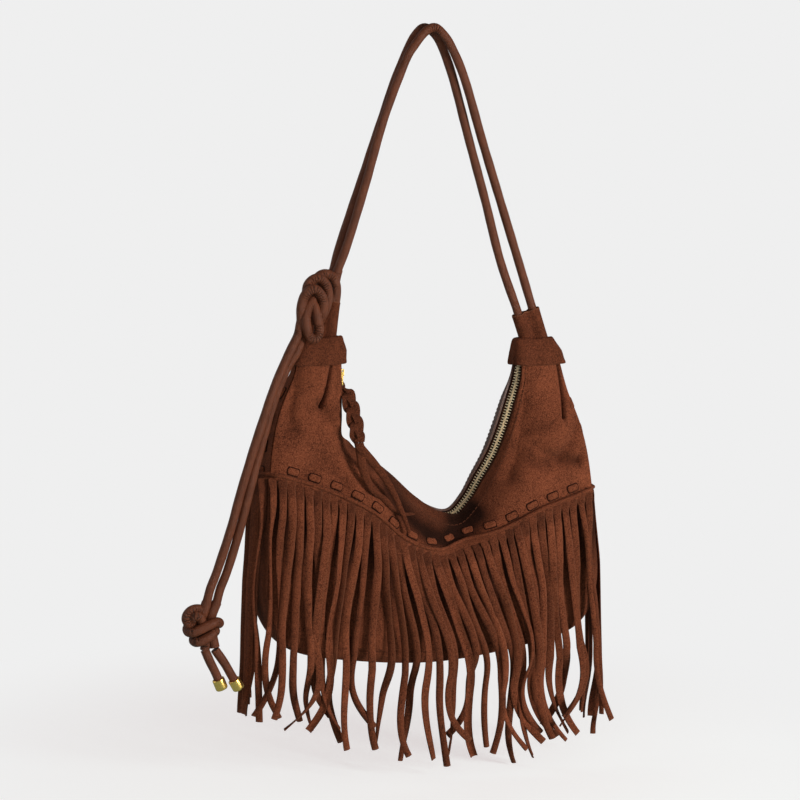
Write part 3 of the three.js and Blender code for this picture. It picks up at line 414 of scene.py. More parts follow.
def beside_zip(side, s, gap):
    """Points of a face a gap away from where it starts beside the zip, and its outward normals."""
    t = gap / np.linalg.norm(face_point(side, s, 0) - face_point(side, s, 1), axis=-1)
    point = face_point(side, s, t)
    h = 1e-3
    along = face_point(side, np.minimum(s + h, 1), t) - face_point(side, np.maximum(s - h, 0), t)
    down = face_point(side, s, t + 4 * h) - point
    return point, turned_each(unit(np.cross(along, down)), zip_frame(s)[3])


# Folds of the front: how dark each is painted, as shade in the fold, then in millimetres its
# depth at its start and end and its half width, and the line of (x, z) that it follows.
FOLDS = (
    (0.95, (3, 6, 1.9), ((129, -296), (132.5, -328), (130, -356))),
    (0.6, (1.2, 7, 4.8), ((100, -378), (120, -391.5), (144, -396))),
    (0.35, (1, 4.5, 6), ((150, -348), (140, -372), (126, -392))),
    (0.2, (0.6, 5.2, 11), ((90, -310), (90, -356), (76, -405))),
    (0.2, (2, 2, 8), ((70, -408), (56, -430), (38, -448))),
    (0.95, (2.2, 7.2, 1.9), ((-91.5, -290), (-97, -314), (-104, -334.5))),
    (0.2, (4.8, 1.2, 6), ((-106, -333), (-99, -344), (-90, -360))),
    (0.2, (1, 2, 5), ((-125, -306), (-133, -330), (-138, -356))),
    (0.2, (0.6, 2.6, 9), ((-100, -365), (-110, -385), (-130, -400))),
    (1.25, (3, 4, 12.5), (
        (-39.7, -412.9), (-18.3, -442), (5.2, -458.5), (24.9, -457), (44.7, -440.5),
    )),
    (0.2, (1.4, 1, 4), ((90.1, -367.3), (104.2, -364.2), (118.3, -360.3))),
    (0.3, (1.6, 3, 8.5), ((66.3, -396.8), (84.3, -390.4), (111.5, -395.7))),
    (0.3, (1, 2, 4.5), ((-130.7, -324), (-133.6, -338.3), (-129.9, -354.7))),
    (0.25, (1.2, 2.2, 6), ((-112.2, -377.5), (-99, -387.3), (-84.8, -404.6))),
    (0.6, (0.4, 1, 6), ((-81.7, -335.4), (-72.3, -365.1), (-55.1, -393.5))),
)
# Swells of the front in millimetres: x and z, the two half sizes and the height.
SWELLS = (
    (123, -368, 18, 20, 5), (112, -326, 12, 24, 3), (-114, -312, 13, 18, 3),
    (-90, -352, 13, 16, 3.4), (100, -416, 32, 18, 3), (-120, -375, 22, 20, 2.2),
    (-75, -415, 20, 16, 2),
)
# Slow waves of the leather: radians per metre in x and z, the phase and the height.
WAVES = (
    (82, 46, 0.3, 0.00045), (-54, 126, 1.9, 0.00035), (176, -74, 4.0, 0.00022), (114, 210, 2.2, 0.00016),
)
# Round the lower left of the zip the front's edge rolls up and back over the teeth: how far, over
# what width, and the width and the painted shade of the hollow beside it.
LIP_UP, LIP_BACK, LIP_WIDTH = 0.0050, 0.0040, 0.007
LIP_HOLLOW, LIP_SHADE = 0.013, 0.55


def folded(x, z):
    """How far the front leather stands out at x and z, and how dark its folds are painted there, as
    shade. A fold is a Gaussian valley round its line, and a swell a Gaussian hill."""
    height, shade = np.zeros_like(x), np.zeros_like(x)
    u = np.linspace(0, 1, 40)
    for dark, sizes, line in FOLDS:
        first, last, width = mm(*sizes)
        path = through(mm(*line), u)
        d2 = (x[..., None] - path[:, 0]) ** 2 + (z[..., None] - path[:, 1]) ** 2
        deep = (first + (last - first) * u[d2.argmin(-1)]) * np.exp(-d2.min(-1) / width**2)
        height -= deep
        shade = np.maximum(shade, dark * deep / max(first, last))
    for cx, cz, rx, rz, lift in mm(*SWELLS):
        height += lift * bell(x - cx, rx) * bell(z - cz, rz)
    return height, np.clip(shade, 0, 1)


def rumple(x, z):
    """Slow ups and downs of soft leather: sine waves that cross, under a millimetre."""
    return sum(height * np.sin(a * x + b * z + phase) for a, b, phase, height in WAVES)


def loose(t):
    """How free a face is to fold: 0 beside the zip and at the outer edge, 1 a tenth further in."""
    return ease(t / 0.10) * ease((1 - t) / 0.10)


def denser_ears(count):
    """Shares of the way round, closer together in the two ears: u - 0.064 sin(2 pi u)."""
    u = np.linspace(0, 1, count)
    return u - 0.064 * np.sin(2 * math.pi * u)


def front_grid(s, t):
    """The front as it hangs, its normals, and the painted shade of its folds and of the hollow by its
    lip: the smooth face moved out along its normals by folds, swells and slow waves, which fade out
    at its edges, and rolled over the teeth round the lower left of the zip as a bell."""
    grid = face_point(1, s[:, None], t)
    out = turned_to(grid_normals(grid), FRONT)
    raised, crease = folded(grid[..., 0], grid[..., 2])
    raised = (raised + rumple(grid[..., 0], grid[..., 2])) * loose(t)
    from_zip = np.linalg.norm(grid - grid[:, :1], axis=-1)
    lower_left = (ease((s - 0.225) / 0.05) * ease((0.625 - s) / 0.06))[:, None]
    rolled = bell(from_zip, LIP_WIDTH) * lower_left
    crease = np.maximum(crease, LIP_SHADE * bell(from_zip, LIP_HOLLOW) * lower_left)
    _, _, across, up = zip_frame(s)
    roll = (up * LIP_UP - across * LIP_BACK)[:, None]
    grid = grid + out * raised[..., None] + roll * rolled[..., None]
    return grid, turned_to(grid_normals(grid), FRONT), crease


def front_samples():
    """A dense cloud of the front's points and normals, for laying pieces on it."""
    s = np.linspace(0, 1, 361)
    grid, out, _ = front_grid(s, face_rows(1, s, 30, 90))
    return grid.reshape(-1, 3), out.reshape(-1, 3)


FRONT_CLOUD, FRONT_WAYS = front_samples()
NEAREST = 8

# The line on the front where the fringe is sewn, seen from the front.
SEAM = mm(
    (-151, 0, -392), (-129, 0, -399), (-93, 0, -413), (-60, 0, -431), (-31, 0, -457), (-1, 0, -470),
    (25, 0, -467), (62, 0, -456), (103, 0, -438), (140, 0, -427), (153, 0, -423),
)


def on_front(x, z):
    """Points and normals of the front seen from the front at lists of x and z: the eight nearest
    samples of the cloud, weighed by one over their distance squared. It works in batches."""
    flat = np.stack([x, z], -1)
    points, ways = np.empty((len(flat), 3)), np.empty((len(flat), 3))
    for a in range(0, len(flat), 200):
        d = ((flat[a : a + 200, None] - FRONT_CLOUD[None, :, ::2]) ** 2).sum(-1)
        near = np.argpartition(d, NEAREST, axis=1)[:, :NEAREST]
        w = 1 / (np.take_along_axis(d, near, 1) + 1e-8)
        w = (w / w.sum(1, keepdims=True))[..., None]
        points[a : a + 200] = (FRONT_CLOUD[near] * w).sum(1)
        ways[a : a + 200] = (FRONT_WAYS[near] * w).sum(1)
    points[:, ::2] = flat
    return points, unit(ways)


def gusset_point(s, v):
    """The gusset, v across it from the front's edge to the back's: straight between the two faces'
    outer edges, bulging out as a half sine."""
    s, v = np.broadcast_arrays(np.asarray(s, float), np.asarray(v, float))
    front, back = face_point(1, s, 1.0), face_point(-1, s, 1.0)
    y = front[..., 1] + SUEDE_THICK / 2 + SEAM_GAP
    y = y + (back[..., 1] - SMOOTH_THICK / 2 - SEAM_GAP - y) * v
    h = 1e-3
    along = unit(through(EDGE_LINE, np.minimum(s + h, 1)) - through(EDGE_LINE, np.maximum(s - h, 0)))
    outward = unit(np.cross(along, FRONT))
    full = np.clip((back[..., 1] - front[..., 1]) / BODY_HALF_DEPTH, 0, 1) ** 2
    bulge = GUSSET_BULGE * np.sin(math.pi * v) * full
    return np.stack([front[..., 0], y, front[..., 2]], -1) + outward * bulge[..., None]


def gusset_way(s, v, reach):
    """Outward normals of the gusset, from points a little further round and reach further across."""
    h = 0.01
    along = gusset_point(s + h, v) - gusset_point(s - h, v)
    return unit(np.cross(gusset_point(s, v + reach) - gusset_point(s, v - reach), along))


EDGE_SPREAD = np.linspace(0, 1, 2001)
EDGE_HEIGHTS = through(EDGE_LINE, EDGE_SPREAD)[:, 2]


def on_side(side, y, z):
    """Points and outward normals of the gusset on one side, at depth y and height z."""
    half = slice(0, 1001) if side < 0 else slice(2000, 999, -1)
    s = np.interp(-z, -EDGE_HEIGHTS[half], EDGE_SPREAD[half])
    front, back = gusset_point(s, 0.0)[..., 1], gusset_point(s, 1.0)[..., 1]
    v = (y - front) / (back - front)
    return gusset_point(s, v), gusset_way(s, v, 0.01)


# ---------------------------------------------------------------- node helpers


def put(tree, node, values):
    """Sets a node's inputs to constants, or links them to other nodes' outputs."""
    for key, value in values.items():
        if isinstance(value, bpy.types.NodeSocket):
            tree.links.new(value, node.inputs[key])
        else:
            node.inputs[key].default_value = value


def add_node(tree, kind, inputs=None, **settings):
    """A shader node with its settings, its constants and its links."""
    made = tree.nodes.new("ShaderNode" + kind)
    for key, value in settings.items():
        setattr(made, key, value)
    put(tree, made, inputs or {})
    return made


def add_output(tree, kind, inputs=None, output=0, **settings):
    """One output of a new node."""
    return add_node(tree, kind, inputs, **settings).outputs[output]


def calc(tree, first, operation, second):
    """One arithmetic node."""
    return add_output(tree, "Math", {0: first, 1: second}, operation=operation)


def remap(tree, value, low, high, start=0.0, end=1.0):
    """A value stretched so that start gives low and end gives high, and held there beyond them."""
    ends = {"From Min": start, "From Max": end, "To Min": low, "To Max": high}
    return add_output(tree, "MapRange", {"Value": value, **ends})


def scaled(tree, colour, scale):
    """A colour times a number."""
    return add_output(tree, "VectorMath", {0: colour, "Scale": scale}, operation="SCALE")


def place_on(tree, output="Object"):
    """The place on the object, or its UV."""
    return add_output(tree, "TexCoord", output=output)


def noise(tree, place, scale, detail, roughness=0.5, distortion=0.0):
    """Smooth noise between about 0.3 and 0.7, with so many patches in a metre."""
    inputs = {"Vector": place, "Scale": scale, "Detail": detail}
    inputs |= {"Roughness": roughness, "Distortion": distortion}
    return add_output(tree, "TexNoise", inputs)


def mark(tree, name):
    """A piece's own point attribute."""
    return add_output(tree, "Attribute", output="Fac", attribute_name=name)


def effect(name, make, inputs):
    """A node group, made once, from its inputs to a colour and a height."""
    if name in bpy.data.node_groups:
        return bpy.data.node_groups[name]
    tree = bpy.data.node_groups.new(name, "ShaderNodeTree")
    for label, (kind, default) in inputs.items():
        socket = tree.interface.new_socket(label, in_out="INPUT", socket_type=kind)
        socket.default_value = default
    tree.interface.new_socket("Colour", in_out="OUTPUT", socket_type="NodeSocketColor")
    tree.interface.new_socket("Height", in_out="OUTPUT", socket_type="NodeSocketFloat")
    given, result = tree.nodes.new("NodeGroupInput"), tree.nodes.new("NodeGroupOutput")
    colour, height = make(tree, given.outputs)
    put(tree, result, {"Colour": colour, "Height": height})
    return tree


def nap(tree, given):
    """Brushed suede: clouds where the nap lies one way, mottling at 3 mm and tufts at 1 mm, which
    scale the colour, and of which the last two raise the surface."""
    place = place_on(tree)

    def patches(scale, detail, distortion, strength):
        grey = noise(tree, place, scale, detail, 0.62, distortion)
        return remap(tree, grey, -strength, strength, 0.3, 0.7)

    clouds = patches(34, 4, 0.9, 0.20)
    mottle = patches(420, 4, 0.3, 0.24)
    tufts = patches(1000, 2, 0.0, 0.55)
    change = calc(tree, calc(tree, clouds, "ADD", mottle), "ADD", tufts)
    colour = scaled(tree, given["Colour"], calc(tree, change, "ADD", 1.0))
    return colour, calc(tree, calc(tree, mottle, "ADD", tufts), "ADD", 0.5)


def grain(tree, given):
    """Smooth leather: a net of fine creases between 1 mm pebbles, with soft clouds of colour."""
    place = place_on(tree)
    cells = {"Vector": place, "Scale": given["Pebbles"]}
    crease = add_output(tree, "TexVoronoi", cells, "Distance", feature="DISTANCE_TO_EDGE")
    pebble = remap(tree, crease, 0.0, 1.0, 0.0, 0.22)
    cloud = remap(tree, noise(tree, place, 75.0, 5.0, 0.65, 0.5), 0.78, 1.22, 0.3, 0.7)
    shade = calc(tree, cloud, "MULTIPLY", remap(tree, pebble, 0.8, 1.0))
    return scaled(tree, given["Colour"], shade), pebble


def add_effect(tree, name, make, colour, **numbers):
    """The colour and the height that a node group makes of a colour."""
    inputs = {"Colour": ("NodeSocketColor", (*colour, 1))}
    inputs |= {label: ("NodeSocketFloat", value) for label, value in numbers.items()}
    group = effect(name, make, inputs)
    values = {label: default for label, (_, default) in inputs.items()}
    return add_node(tree, "Group", values, node_tree=group).outputs


def finished(name, paint, depth, strength, constants):
    """A material whose paint function gives a colour and a height, which becomes a bump of a real
    depth in metres. constants are the Principled node's other inputs."""
    material = bpy.data.materials.new(name)
    material.use_nodes = True
    tree = material.node_tree
    colour, height = paint(tree)
    bump = add_output(tree, "Bump", {"Height": height, "Distance": depth, "Strength": strength})
    inputs = {"Base Color": colour, "Normal": bump, **constants}
    put(tree, tree.nodes["Principled BSDF"], inputs)
    return material


def suede_material(name, colour, raw):
    """Suede for one kind of piece. Creases and pits are painted darker, as shade, raw cut edges
    lighter, and each strand has its own lightness, partly at random and partly painted shade."""

    def paint(tree):
        made = add_effect(tree, "Suede nap", nap, colour)
        # The strand's lightness, random and painted shade, and the crease mark, painted shade down to a
        # tenth of the colour, scale the nap's colour.
        tone_and_shade = calc(tree, mark(tree, "tone_and_shade"), "ADD", 1.0)
        crease = remap(tree, mark(tree, "crease"), 1.0, 0.10)
        toned_and_shaded = scaled(tree, made["Colour"], calc(tree, tone_and_shade, "MULTIPLY", crease))
        mix = {"Factor": mark(tree, "cut"), "A": toned_and_shaded, "B": (*raw, 1)}
        return add_output(tree, "Mix", mix, "Result", data_type="RGBA"), made["Height"]

    sheen = {"Sheen Weight": 0.12, "Sheen Roughness": 0.4, "Sheen Tint": (0.60, 0.25, 0.14, 1)}
    return finished(name, paint, 0.0005, 0.75, {"Roughness": 0.95, "Specular IOR Level": 0.10, **sheen})


def leather_material(name, colour):
    """Smooth leather with its dye and a light wax over it."""

    def paint(tree):
        made = add_effect(tree, "Leather grain", grain, colour, Pebbles=1100.0)
        return made["Colour"], made["Height"]

    wax = {"Coat Weight": 0.12, "Coat Roughness": 0.3}
    return finished(name, paint, 0.0002, 0.6, {"Roughness": 0.5, "Specular IOR Level": 0.45, **wax})


RIB_PITCH = 0.0023


def cord_material(name, colour):
    """Rolled leather cord: grain all over, and uneven ribs with valleys painted dark, as shade, where
    it is bent, most of all where its inner side is squeezed."""

    def paint(tree):
        made = add_effect(tree, "Leather grain", grain, colour, Pebbles=1500.0)
        wobble = calc(tree, noise(tree, place_on(tree), 260.0, 2.0), "MULTIPLY", 9.0)
        along = add_output(tree, "SeparateXYZ", {0: place_on(tree, "UV")})
        phase = calc(tree, calc(tree, along, "MULTIPLY", 2 * math.pi / RIB_PITCH), "ADD", wobble)
        wave = add_output(tree, "Math", {0: phase}, operation="SINE")
        rib = remap(tree, wave, 0.0, 1.0, -1.0, 0.3)
        squeezed = remap(tree, mark(tree, "bend"), 0.0, 1.0, 0.05, 0.20)
        groove = calc(tree, calc(tree, 1.0, "SUBTRACT", rib), "MULTIPLY", squeezed)
        # The grooves are painted shade: the colour falls to 0.35 of itself in them.
        groove_shaded = scaled(tree, made["Colour"], remap(tree, groove, 1.0, 0.35))
        return groove_shaded, calc(tree, calc(tree, made["Height"], "MULTIPLY", 0.18), "SUBTRACT", groove)

    return finished(name, paint, 0.0009, 0.85, {"Roughness": 0.42, "Specular IOR Level": 0.24})


def metal_material(name, colour, roughness, metallic=1.0):
    """Plated metal with fine rubbed scratches and slightly uneven polish."""
    material = bpy.data.materials.new(name)
    material.use_nodes = True
    tree = material.node_tree
    rubbed = add_output(tree, "Mapping", {"Vector": place_on(tree), "Scale": (4.0, 4.0, 0.5)})
    lines = noise(tree, rubbed, 900.0, 3.0)
    dull = remap(tree, lines, roughness * 0.75, roughness * 1.4, 0.3, 0.7)
    tint = scaled(tree, colour, calc(tree, calc(tree, lines, "MULTIPLY", 0.3), "ADD", 0.85))
    bump = add_output(tree, "Bump", {"Height": lines, "Distance": 0.00006, "Strength": 0.4})
    inputs = {"Base Color": tint, "Normal": bump, "Metallic": metallic, "Roughness": dull}
    put(tree, tree.nodes["Principled BSDF"], inputs)
    return material


def cloth_material(name, colour):
    """Twill tape: two sets of fine slanting ribs from its own length and width."""

    def paint(tree):
        uv = place_on(tree, "UV")
        ribs = {"Vector": uv, "Scale": 520.0, "Distortion": 0.6, "Detail": 1.0}
        ribs = add_output(tree, "TexWave", ribs, "Fac", bands_direction="DIAGONAL")
        cross = {"Vector": uv, "Scale": 700.0, "Distortion": 0.3}
        cross = add_output(tree, "TexWave", cross, "Fac", bands_direction="Y")
        height = calc(tree, ribs, "MULTIPLY", cross)
        return scaled(tree, colour, remap(tree, height, 0.55, 1.25)), height

    return finished(name, paint, 0.0002, 0.7, {"Roughness": 0.92, "Specular IOR Level": 0.15})


def thread_material(name, colour):
    """Waxed thread with a twist of two plies."""

    def paint(tree):
        twist = {"Vector": place_on(tree, "UV"), "Scale": 420.0}
        twist = add_output(tree, "TexWave", twist, "Fac", bands_direction="DIAGONAL")
        return scaled(tree, colour, remap(tree, twist, 0.6, 1.2)), twist

    return finished(name, paint, 0.0001, 0.5, {"Roughness": 0.85, "Specular IOR Level": 0.1})


def named(name, make, *args):
    """A material made once and used again."""
    return bpy.data.materials.get(name) or make(name, *args)


# How bright the suede of each kind of piece is, against the front's. The sides' and the pull's
# suede is darker as painted shade, and the slots' near black as painted shadow.
SHADES = {
    "Front suede": 1.0, "Side suede": 0.85, "Ear suede": 0.66, "Lace suede": 1.04,
    "Slit shadow": 0.10, "Fringe suede": 0.86, "Pull suede": 0.62,
}


def suede(name):
    """The suede of one kind of piece."""
    bag = bpy.context.scene.fringed_bag
    return named(name, suede_material, np.array(bag.suede) * SHADES[name], bag.raw_edge)


def gilt():
    """The gold-coloured metal of the slider, its tab and the cord caps."""
    return named("Gilt metal", metal_material, tuple(bpy.context.scene.fringed_bag.gold), 0.24)


# ---------------------------------------------------------------- settings


def size(name, description, default):
    """A size that the user can change."""
    return FloatProperty(name=name, description=description, default=default, unit="LENGTH")


def dye(name, description, default):
    """A colour that the user can change."""
    return FloatVectorProperty(name=name, description=description, subtype="COLOR", default=default)


class BagSettings(bpy.types.PropertyGroup):
    """Sizes and colours of the bag's leather, cords and metal."""

    cord_diameter: size("Cord Diameter", "Thickness of the rolled leather cord", 0.008)
    strand_width: size("Strand Width", "Width of one strand of the fringe", 0.0074)
    strand_thick: size("Strand Thickness", "Thickness of the fringe's suede", 0.0016)
    strand_pitch: size("Strand Pitch", "Distance from one cut of the fringe to the next", 0.0086)
    lace_width: size("Lace Width", "Width of the lace woven through the suede", 0.0060)
    lace_bars: IntProperty(
        name="Lace Bars", description="Bars of the lace that show along the front", default=15
    )
    tooth_pitch: size("Tooth Pitch", "Distance between two teeth of one row of the zip", 0.0026)
    stitch_pitch: size("Stitch Pitch", "Distance from one stitch to the next", 0.0042)
    suede: dye("Suede", "Dye of the suede", (0.155, 0.0425, 0.0190))
    raw_edge: dye("Raw Edge", "Undyed core seen at the suede's cut edges", (0.19, 0.068, 0.035))
    smooth: dye("Smooth Leather", "Dye of the back", (0.085, 0.030, 0.016))
    cord: dye("Cord", "Dye of the cord", (0.142, 0.040, 0.0165))
    tape: dye("Zip Tape", "Dye of the zip's tape", (0.105, 0.036, 0.018))
    thread: dye("Thread", "Dye of the stitching thread", (0.10, 0.032, 0.016))
    brass: dye("Brass", "Colour of the zip's teeth", (1.0, 0.82, 0.55))
    gold: dye("Gold", "Colour of the slider, tab and cord caps", (0.86, 0.55, 0.15))


# ---------------------------------------------------------------- stage

CAMERA_AT = (-0.78224, -2.08341, -0.02225)
LOOKS_AT = (-0.03712, -0.03621, -0.32843)
LENS, SENSOR = 110, 36
FLOOR_AT = (-0.03, 0.0, -0.684)
FLOOR_SIZE = 8
# Where the floor starts and ends to fade into the background, in metres from its middle.
FLOOR_NEAR, FLOOR_FAR = 0.16, 0.60
BACKGROUND = (0.863, 0.863, 0.863, 1)
FLOOR_LIT = (0.50, 0.66, 0.66, 1)
FLOOR_GLOW = (0.60, 0.52, 0.52, 1)
WORLD_GLOW = (1.0, 0.985, 0.97, 1)
WORLD_STRENGTH = 0.20
# Each lamp's name, place, size, power in watts and colour.
LAMPS = (
    ("Key", (1.05, -1.55, -0.10), 0.55, 32, (1.0, 0.96, 0.92)),
    ("Fill", (-1.1, -1.9, 0.15), 1.0, 7.5, (1.0, 0.98, 0.96)),
    ("Rim", (-1.1, 0.8, 0.1), 0.6, 3, (1.0, 0.98, 0.96)),
)


def aim(thing, target):
    """Turns a camera or light so that its -Z looks at a target."""
    way = Vector(target) - thing.location
    thing.rotation_euler = way.to_track_quat("-Z", "Y").to_euler()


def lamp(name, at, size, power, colour):
    """A square area light looking at the bag."""
    data = bpy.data.lights.new(name, "AREA")
    data.shape, data.size, data.energy, data.color = "SQUARE", size, power, colour
    thing = bpy.data.objects.new(name, data)
    thing.location = at
    bpy.context.scene.collection.objects.link(thing)
    aim(thing, LOOKS_AT)


def floor_material():
    """Pale floor that keeps the bag's faint shadow near it and fades into the plain background
    further out. Near the bag its brightness is part glow, seen by the camera only, and part light
    that falls on it, so that a shadow takes away only that second part."""
    material = bpy.data.materials.new("Pale floor")
    material.use_nodes = True
    tree = material.node_tree
    tree.nodes.clear()
    away = add_output(tree, "VectorMath", {0: place_on(tree)}, "Value", operation="LENGTH")
    ends = {"Value": away, "From Min": FLOOR_NEAR, "From Max": FLOOR_FAR}
    far = add_output(tree, "MapRange", ends, interpolation_type="SMOOTHSTEP")
    seen = add_output(tree, "LightPath", output="Is Camera Ray")
    lit = add_output(tree, "BsdfDiffuse", {"Color": FLOOR_LIT})
    glow = add_output(tree, "Emission", {"Color": FLOOR_GLOW, "Strength": seen})
    near = add_output(tree, "AddShader", {0: lit, 1: glow})
    plain = add_output(tree, "Emission", {"Color": BACKGROUND})
    fade = calc(tree, far, "MULTIPLY", seen)
    both = add_output(tree, "MixShader", {0: fade, 1: near, 2: plain})
    add_node(tree, "OutputMaterial", {"Surface": both})
    return material


def plain_world():
    """A world that cameras see as a flat pale grey, and that lights the bag softly from all round."""
    world = bpy.data.worlds.new("Studio")
    world.use_nodes = True
    tree = world.node_tree
    tree.nodes.clear()
    seen = add_output(tree, "LightPath", output="Is Camera Ray")
    plain = add_output(tree, "Background", {"Color": BACKGROUND, "Strength": 1.0})
    glow = add_output(tree, "Background", {"Color": WORLD_GLOW, "Strength": WORLD_STRENGTH})
    both = add_output(tree, "MixShader", {0: seen, 1: glow, 2: plain})
    add_node(tree, "OutputWorld", {"Surface": both})
    return world


class BAG_OT_stage(bpy.types.Operator):
    """Set the camera, the lights, the floor and the world"""

    bl_idname = "bag.stage"
    bl_label = "Set the Stage"

    def execute(self, context):
        scene = context.scene
        data = bpy.data.cameras.new("Camera")
        data.lens, data.sensor_width = LENS, SENSOR
        camera = bpy.data.objects.new("Camera", data)
        camera.location = CAMERA_AT
        scene.collection.objects.link(camera)
        aim(camera, LOOKS_AT)
        scene.camera = camera
        scene.world = plain_world()
        for each in LAMPS:
            lamp(*each)
        bpy.ops.mesh.primitive_plane_add(size=FLOOR_SIZE, location=FLOOR_AT)
        floor = context.active_object
        floor.name = "Floor"
        floor.data.materials.append(floor_material())
        scene.view_settings.view_transform = "Standard"
        return {"FINISHED"}


# ---------------------------------------------------------------- cords

# Centre lines of the cords. The knots are runs of cord that cross and touch, and whose ends go
# into one another.
STRAP_OUTER = mm(
    (117.7, 0, -286.4), (112.6, 0, -271.2), (105.7, 0, -250.3), (91.8, -1, -208.6),
    (72.6, -3, -152.7), (54.2, -4, -97.7), (36.9, -5, -43.4), (24.2, -5, -14.7), (15.9, -5, -2.6),
    (7.7, -5, 3.6), (-1.4, -5, 0), (-11, -5, -11.1), (-21, -5, -27.2), (-41.2, -4, -78.7),
    (-56.9, -3, -132.2), (-73.5, -1, -185.9), (-83.2, 0.3, -212.1),
)
STRAP_INNER = mm(
    (103.5, 0, -291.1), (98.4, 0, -275.9), (91.5, 0, -255.1), (74.6, 1, -208.3), (59.8, 2, -152.7),
    (44.2, 3, -97.8), (29.2, 4, -43.4), (19.3, 5, -15.6), (11.5, 5, -2.5), (1.4, 5, 3.6),
    (-7.2, 5, -3), (-14.2, 5, -14.7), (-26.9, 5, -43.3), (-39.9, 5, -79), (-58.7, 6, -132.6),
    (-77.3, 8, -186.4), (-85.2, 8.3, -213.8),
)
UPPER_KNOT = (
    mm(
        (-123.2, -18, -261.2), (-124.2, -19, -252.1), (-124.5, -20, -243.1),
        (-122.1, -20.5, -234.2), (-117.8, -21, -228.8), (-112.6, -21, -227.3),
        (-107.6, -20, -230.7), (-104.2, -19, -236.9), (-103.5, -18, -244), (-104.8, -15, -251.7),
        (-109, -11, -257.5),
    ),
    mm(
        (-115.7, -8, -230.5), (-115.4, -12, -224.2), (-111, -13, -219.5), (-105.4, -13.5, -218.6),
        (-100, -13, -223.1), (-97.4, -12.5, -229.2), (-96.8, -12, -236.8), (-98, -10.5, -243.9),
        (-100.6, -7, -252.1), (-104, -2, -262),
    ),
    mm(
        (-105.4, -4, -221.2), (-102.9, -6, -217.2), (-97.9, -6.5, -215.5), (-91.9, -6, -217.5),
        (-87.9, -5, -223.2), (-86.3, -3.5, -229.9), (-86.4, -1.5, -240), (-88.5, 0, -252),
        (-90.3, 0, -264),
    ),
    mm(
        (-104, -9, -230.8), (-110.9, -14, -236.1), (-117.4, -19, -242.4), (-120.8, -22, -250.9),
        (-120.8, -23, -259.8), (-118.6, -22.5, -268), (-114.2, -21.5, -271.8),
        (-109.6, -20, -269.2), (-108, -19.5, -262), (-109.4, -19, -254), (-110.7, -17.5, -245),
        (-111.3, -14, -238),
    ),
    mm((-110, -5, -224), (-116.2, -8, -234.5), (-119, -9, -245.4), (-121.1, -9.1, -260)),
    mm((-102, -6, -225), (-109, -10, -236), (-111, -11, -248), (-112, -12, -260)),
    mm(
        (-85.2, 8.3, -213.8), (-87.2, 8, -219.5), (-92.5, 4, -231), (-98.5, 0.8, -243),
        (-102.5, 0, -254), (-105, 0, -264),
    ),
    mm(
        (-83.2, 0.3, -212.1), (-85, 0, -217.5), (-87.2, -1.2, -226), (-89, -1.2, -240),
        (-90.3, 0, -250),
    ),
)
TAIL_OUTER = mm(
    (-125.1, -18, -258.6), (-127.5, -18.5, -268), (-134.9, -20, -280.9), (-144, -22, -298.2),
    (-151.9, -23, -315.7), (-158.8, -24, -333.2), (-171.5, -25, -368.3), (-182.6, -24, -403.8),
    (-193.1, -24, -439.3), (-205.5, -24, -474.7), (-212, -24, -490.5), (-215.1, -24, -501.1),
)
TAIL_INNER = mm(
    (-121.1, -9.1, -260.1), (-121.6, -9.6, -266), (-123.5, -14, -273), (-128.5, -18, -283.2),
    (-138, -16.5, -298.9), (-146, -17, -316.1), (-152.5, -18, -333.3), (-164, -21, -368.2),
    (-174.8, -24.2, -403.5), (-184.6, -24.5, -439.4), (-196.2, -24, -475.3),
    (-202.7, -23.5, -491.3), (-205.9, -23.3, -502.5),
)
LOWER_KNOT = (
    mm(
        (-215.7, -24, -503), (-218.5, -24, -511.2), (-220.7, -23, -519.2), (-219.4, -23, -529.5),
        (-216.6, -22, -540.3), (-217.2, -21.2, -546.8),
    ),
    mm(
        (-206.3, -23.4, -503.9), (-210.8, -23.5, -514.1), (-212.1, -22, -523.5),
        (-210.7, -22, -532.8), (-208.5, -23.4, -545),
    ),
    mm(
        (-218.7, -21, -516.9), (-220.5, -23, -510.3), (-228, -25, -508.8), (-233.5, -26, -511.8),
        (-235, -26, -516.8), (-231.6, -25, -522.4), (-224.5, -22, -526.2),
    ),
    mm(
        (-229.6, -24, -520), (-228.9, -28, -514.6), (-225.5, -29, -514.3), (-221.7, -27, -518.8),
        (-219.6, -23, -523.8),
    ),
    mm(
        (-218.8, -16, -524.3), (-230.9, -18, -525.7), (-233.4, -25, -528.2), (-230.1, -30, -528.2),
        (-223.6, -31.5, -525.6), (-216.1, -31.5, -522.6), (-208.8, -29, -520.9),
        (-204.6, -24, -523.1), (-206.5, -17.5, -525.5), (-215.2, -15.5, -527.6),
        (-224.6, -16, -529),
    ),
    mm(
        (-213, -15.5, -532.9), (-223.8, -17, -535.1), (-227.8, -23, -537.1),
        (-226.4, -28.5, -537.7), (-221.1, -30, -536), (-214.6, -29.5, -533), (-209.5, -27, -530),
        (-208, -19, -531.3), (-215.3, -15.5, -533.8),
    ),
)
# The last points are the caps' middles.
END_OUTER = mm(
    (-217.2, -21.2, -547.2), (-213, -23, -558), (-208, -24, -569), (-204.1, -24, -579),
)
END_INNER = mm(
    (-208.5, -23.5, -547), (-200, -24, -560), (-194, -24, -571), (-188.9, -24, -580.5),
)
CORD_SPACING = 0.0016
END_SPACING = 0.0012
KNOT_SPACING = 0.0011
# In a knot the cord is pressed flat and looks fuller. A cord's ends run on into it.
KNOT_FULLER = 1.12
STRAP_RUNS_ON = 0.006
TAIL_RUNS_ON = 0.005
CAP_LENGTH = 0.0105
# How far short of the cap's middle the tail's end stops.
CAP_FLOOR = 0.0014
# The cap's outline from its foot: radius and height.
CAP_PROFILE = mm(
    (0.2, 0.1), (4, 0), (5, 0.3), (5.5, 1.1), (5.6, 2.2), (5.6, 9.5), (5.5, 10.2), (5.1, 10.5),
    (4.4, 10.5), (4.1, 9.9), (4.1, 1.2), (0.2, 1.1),
)


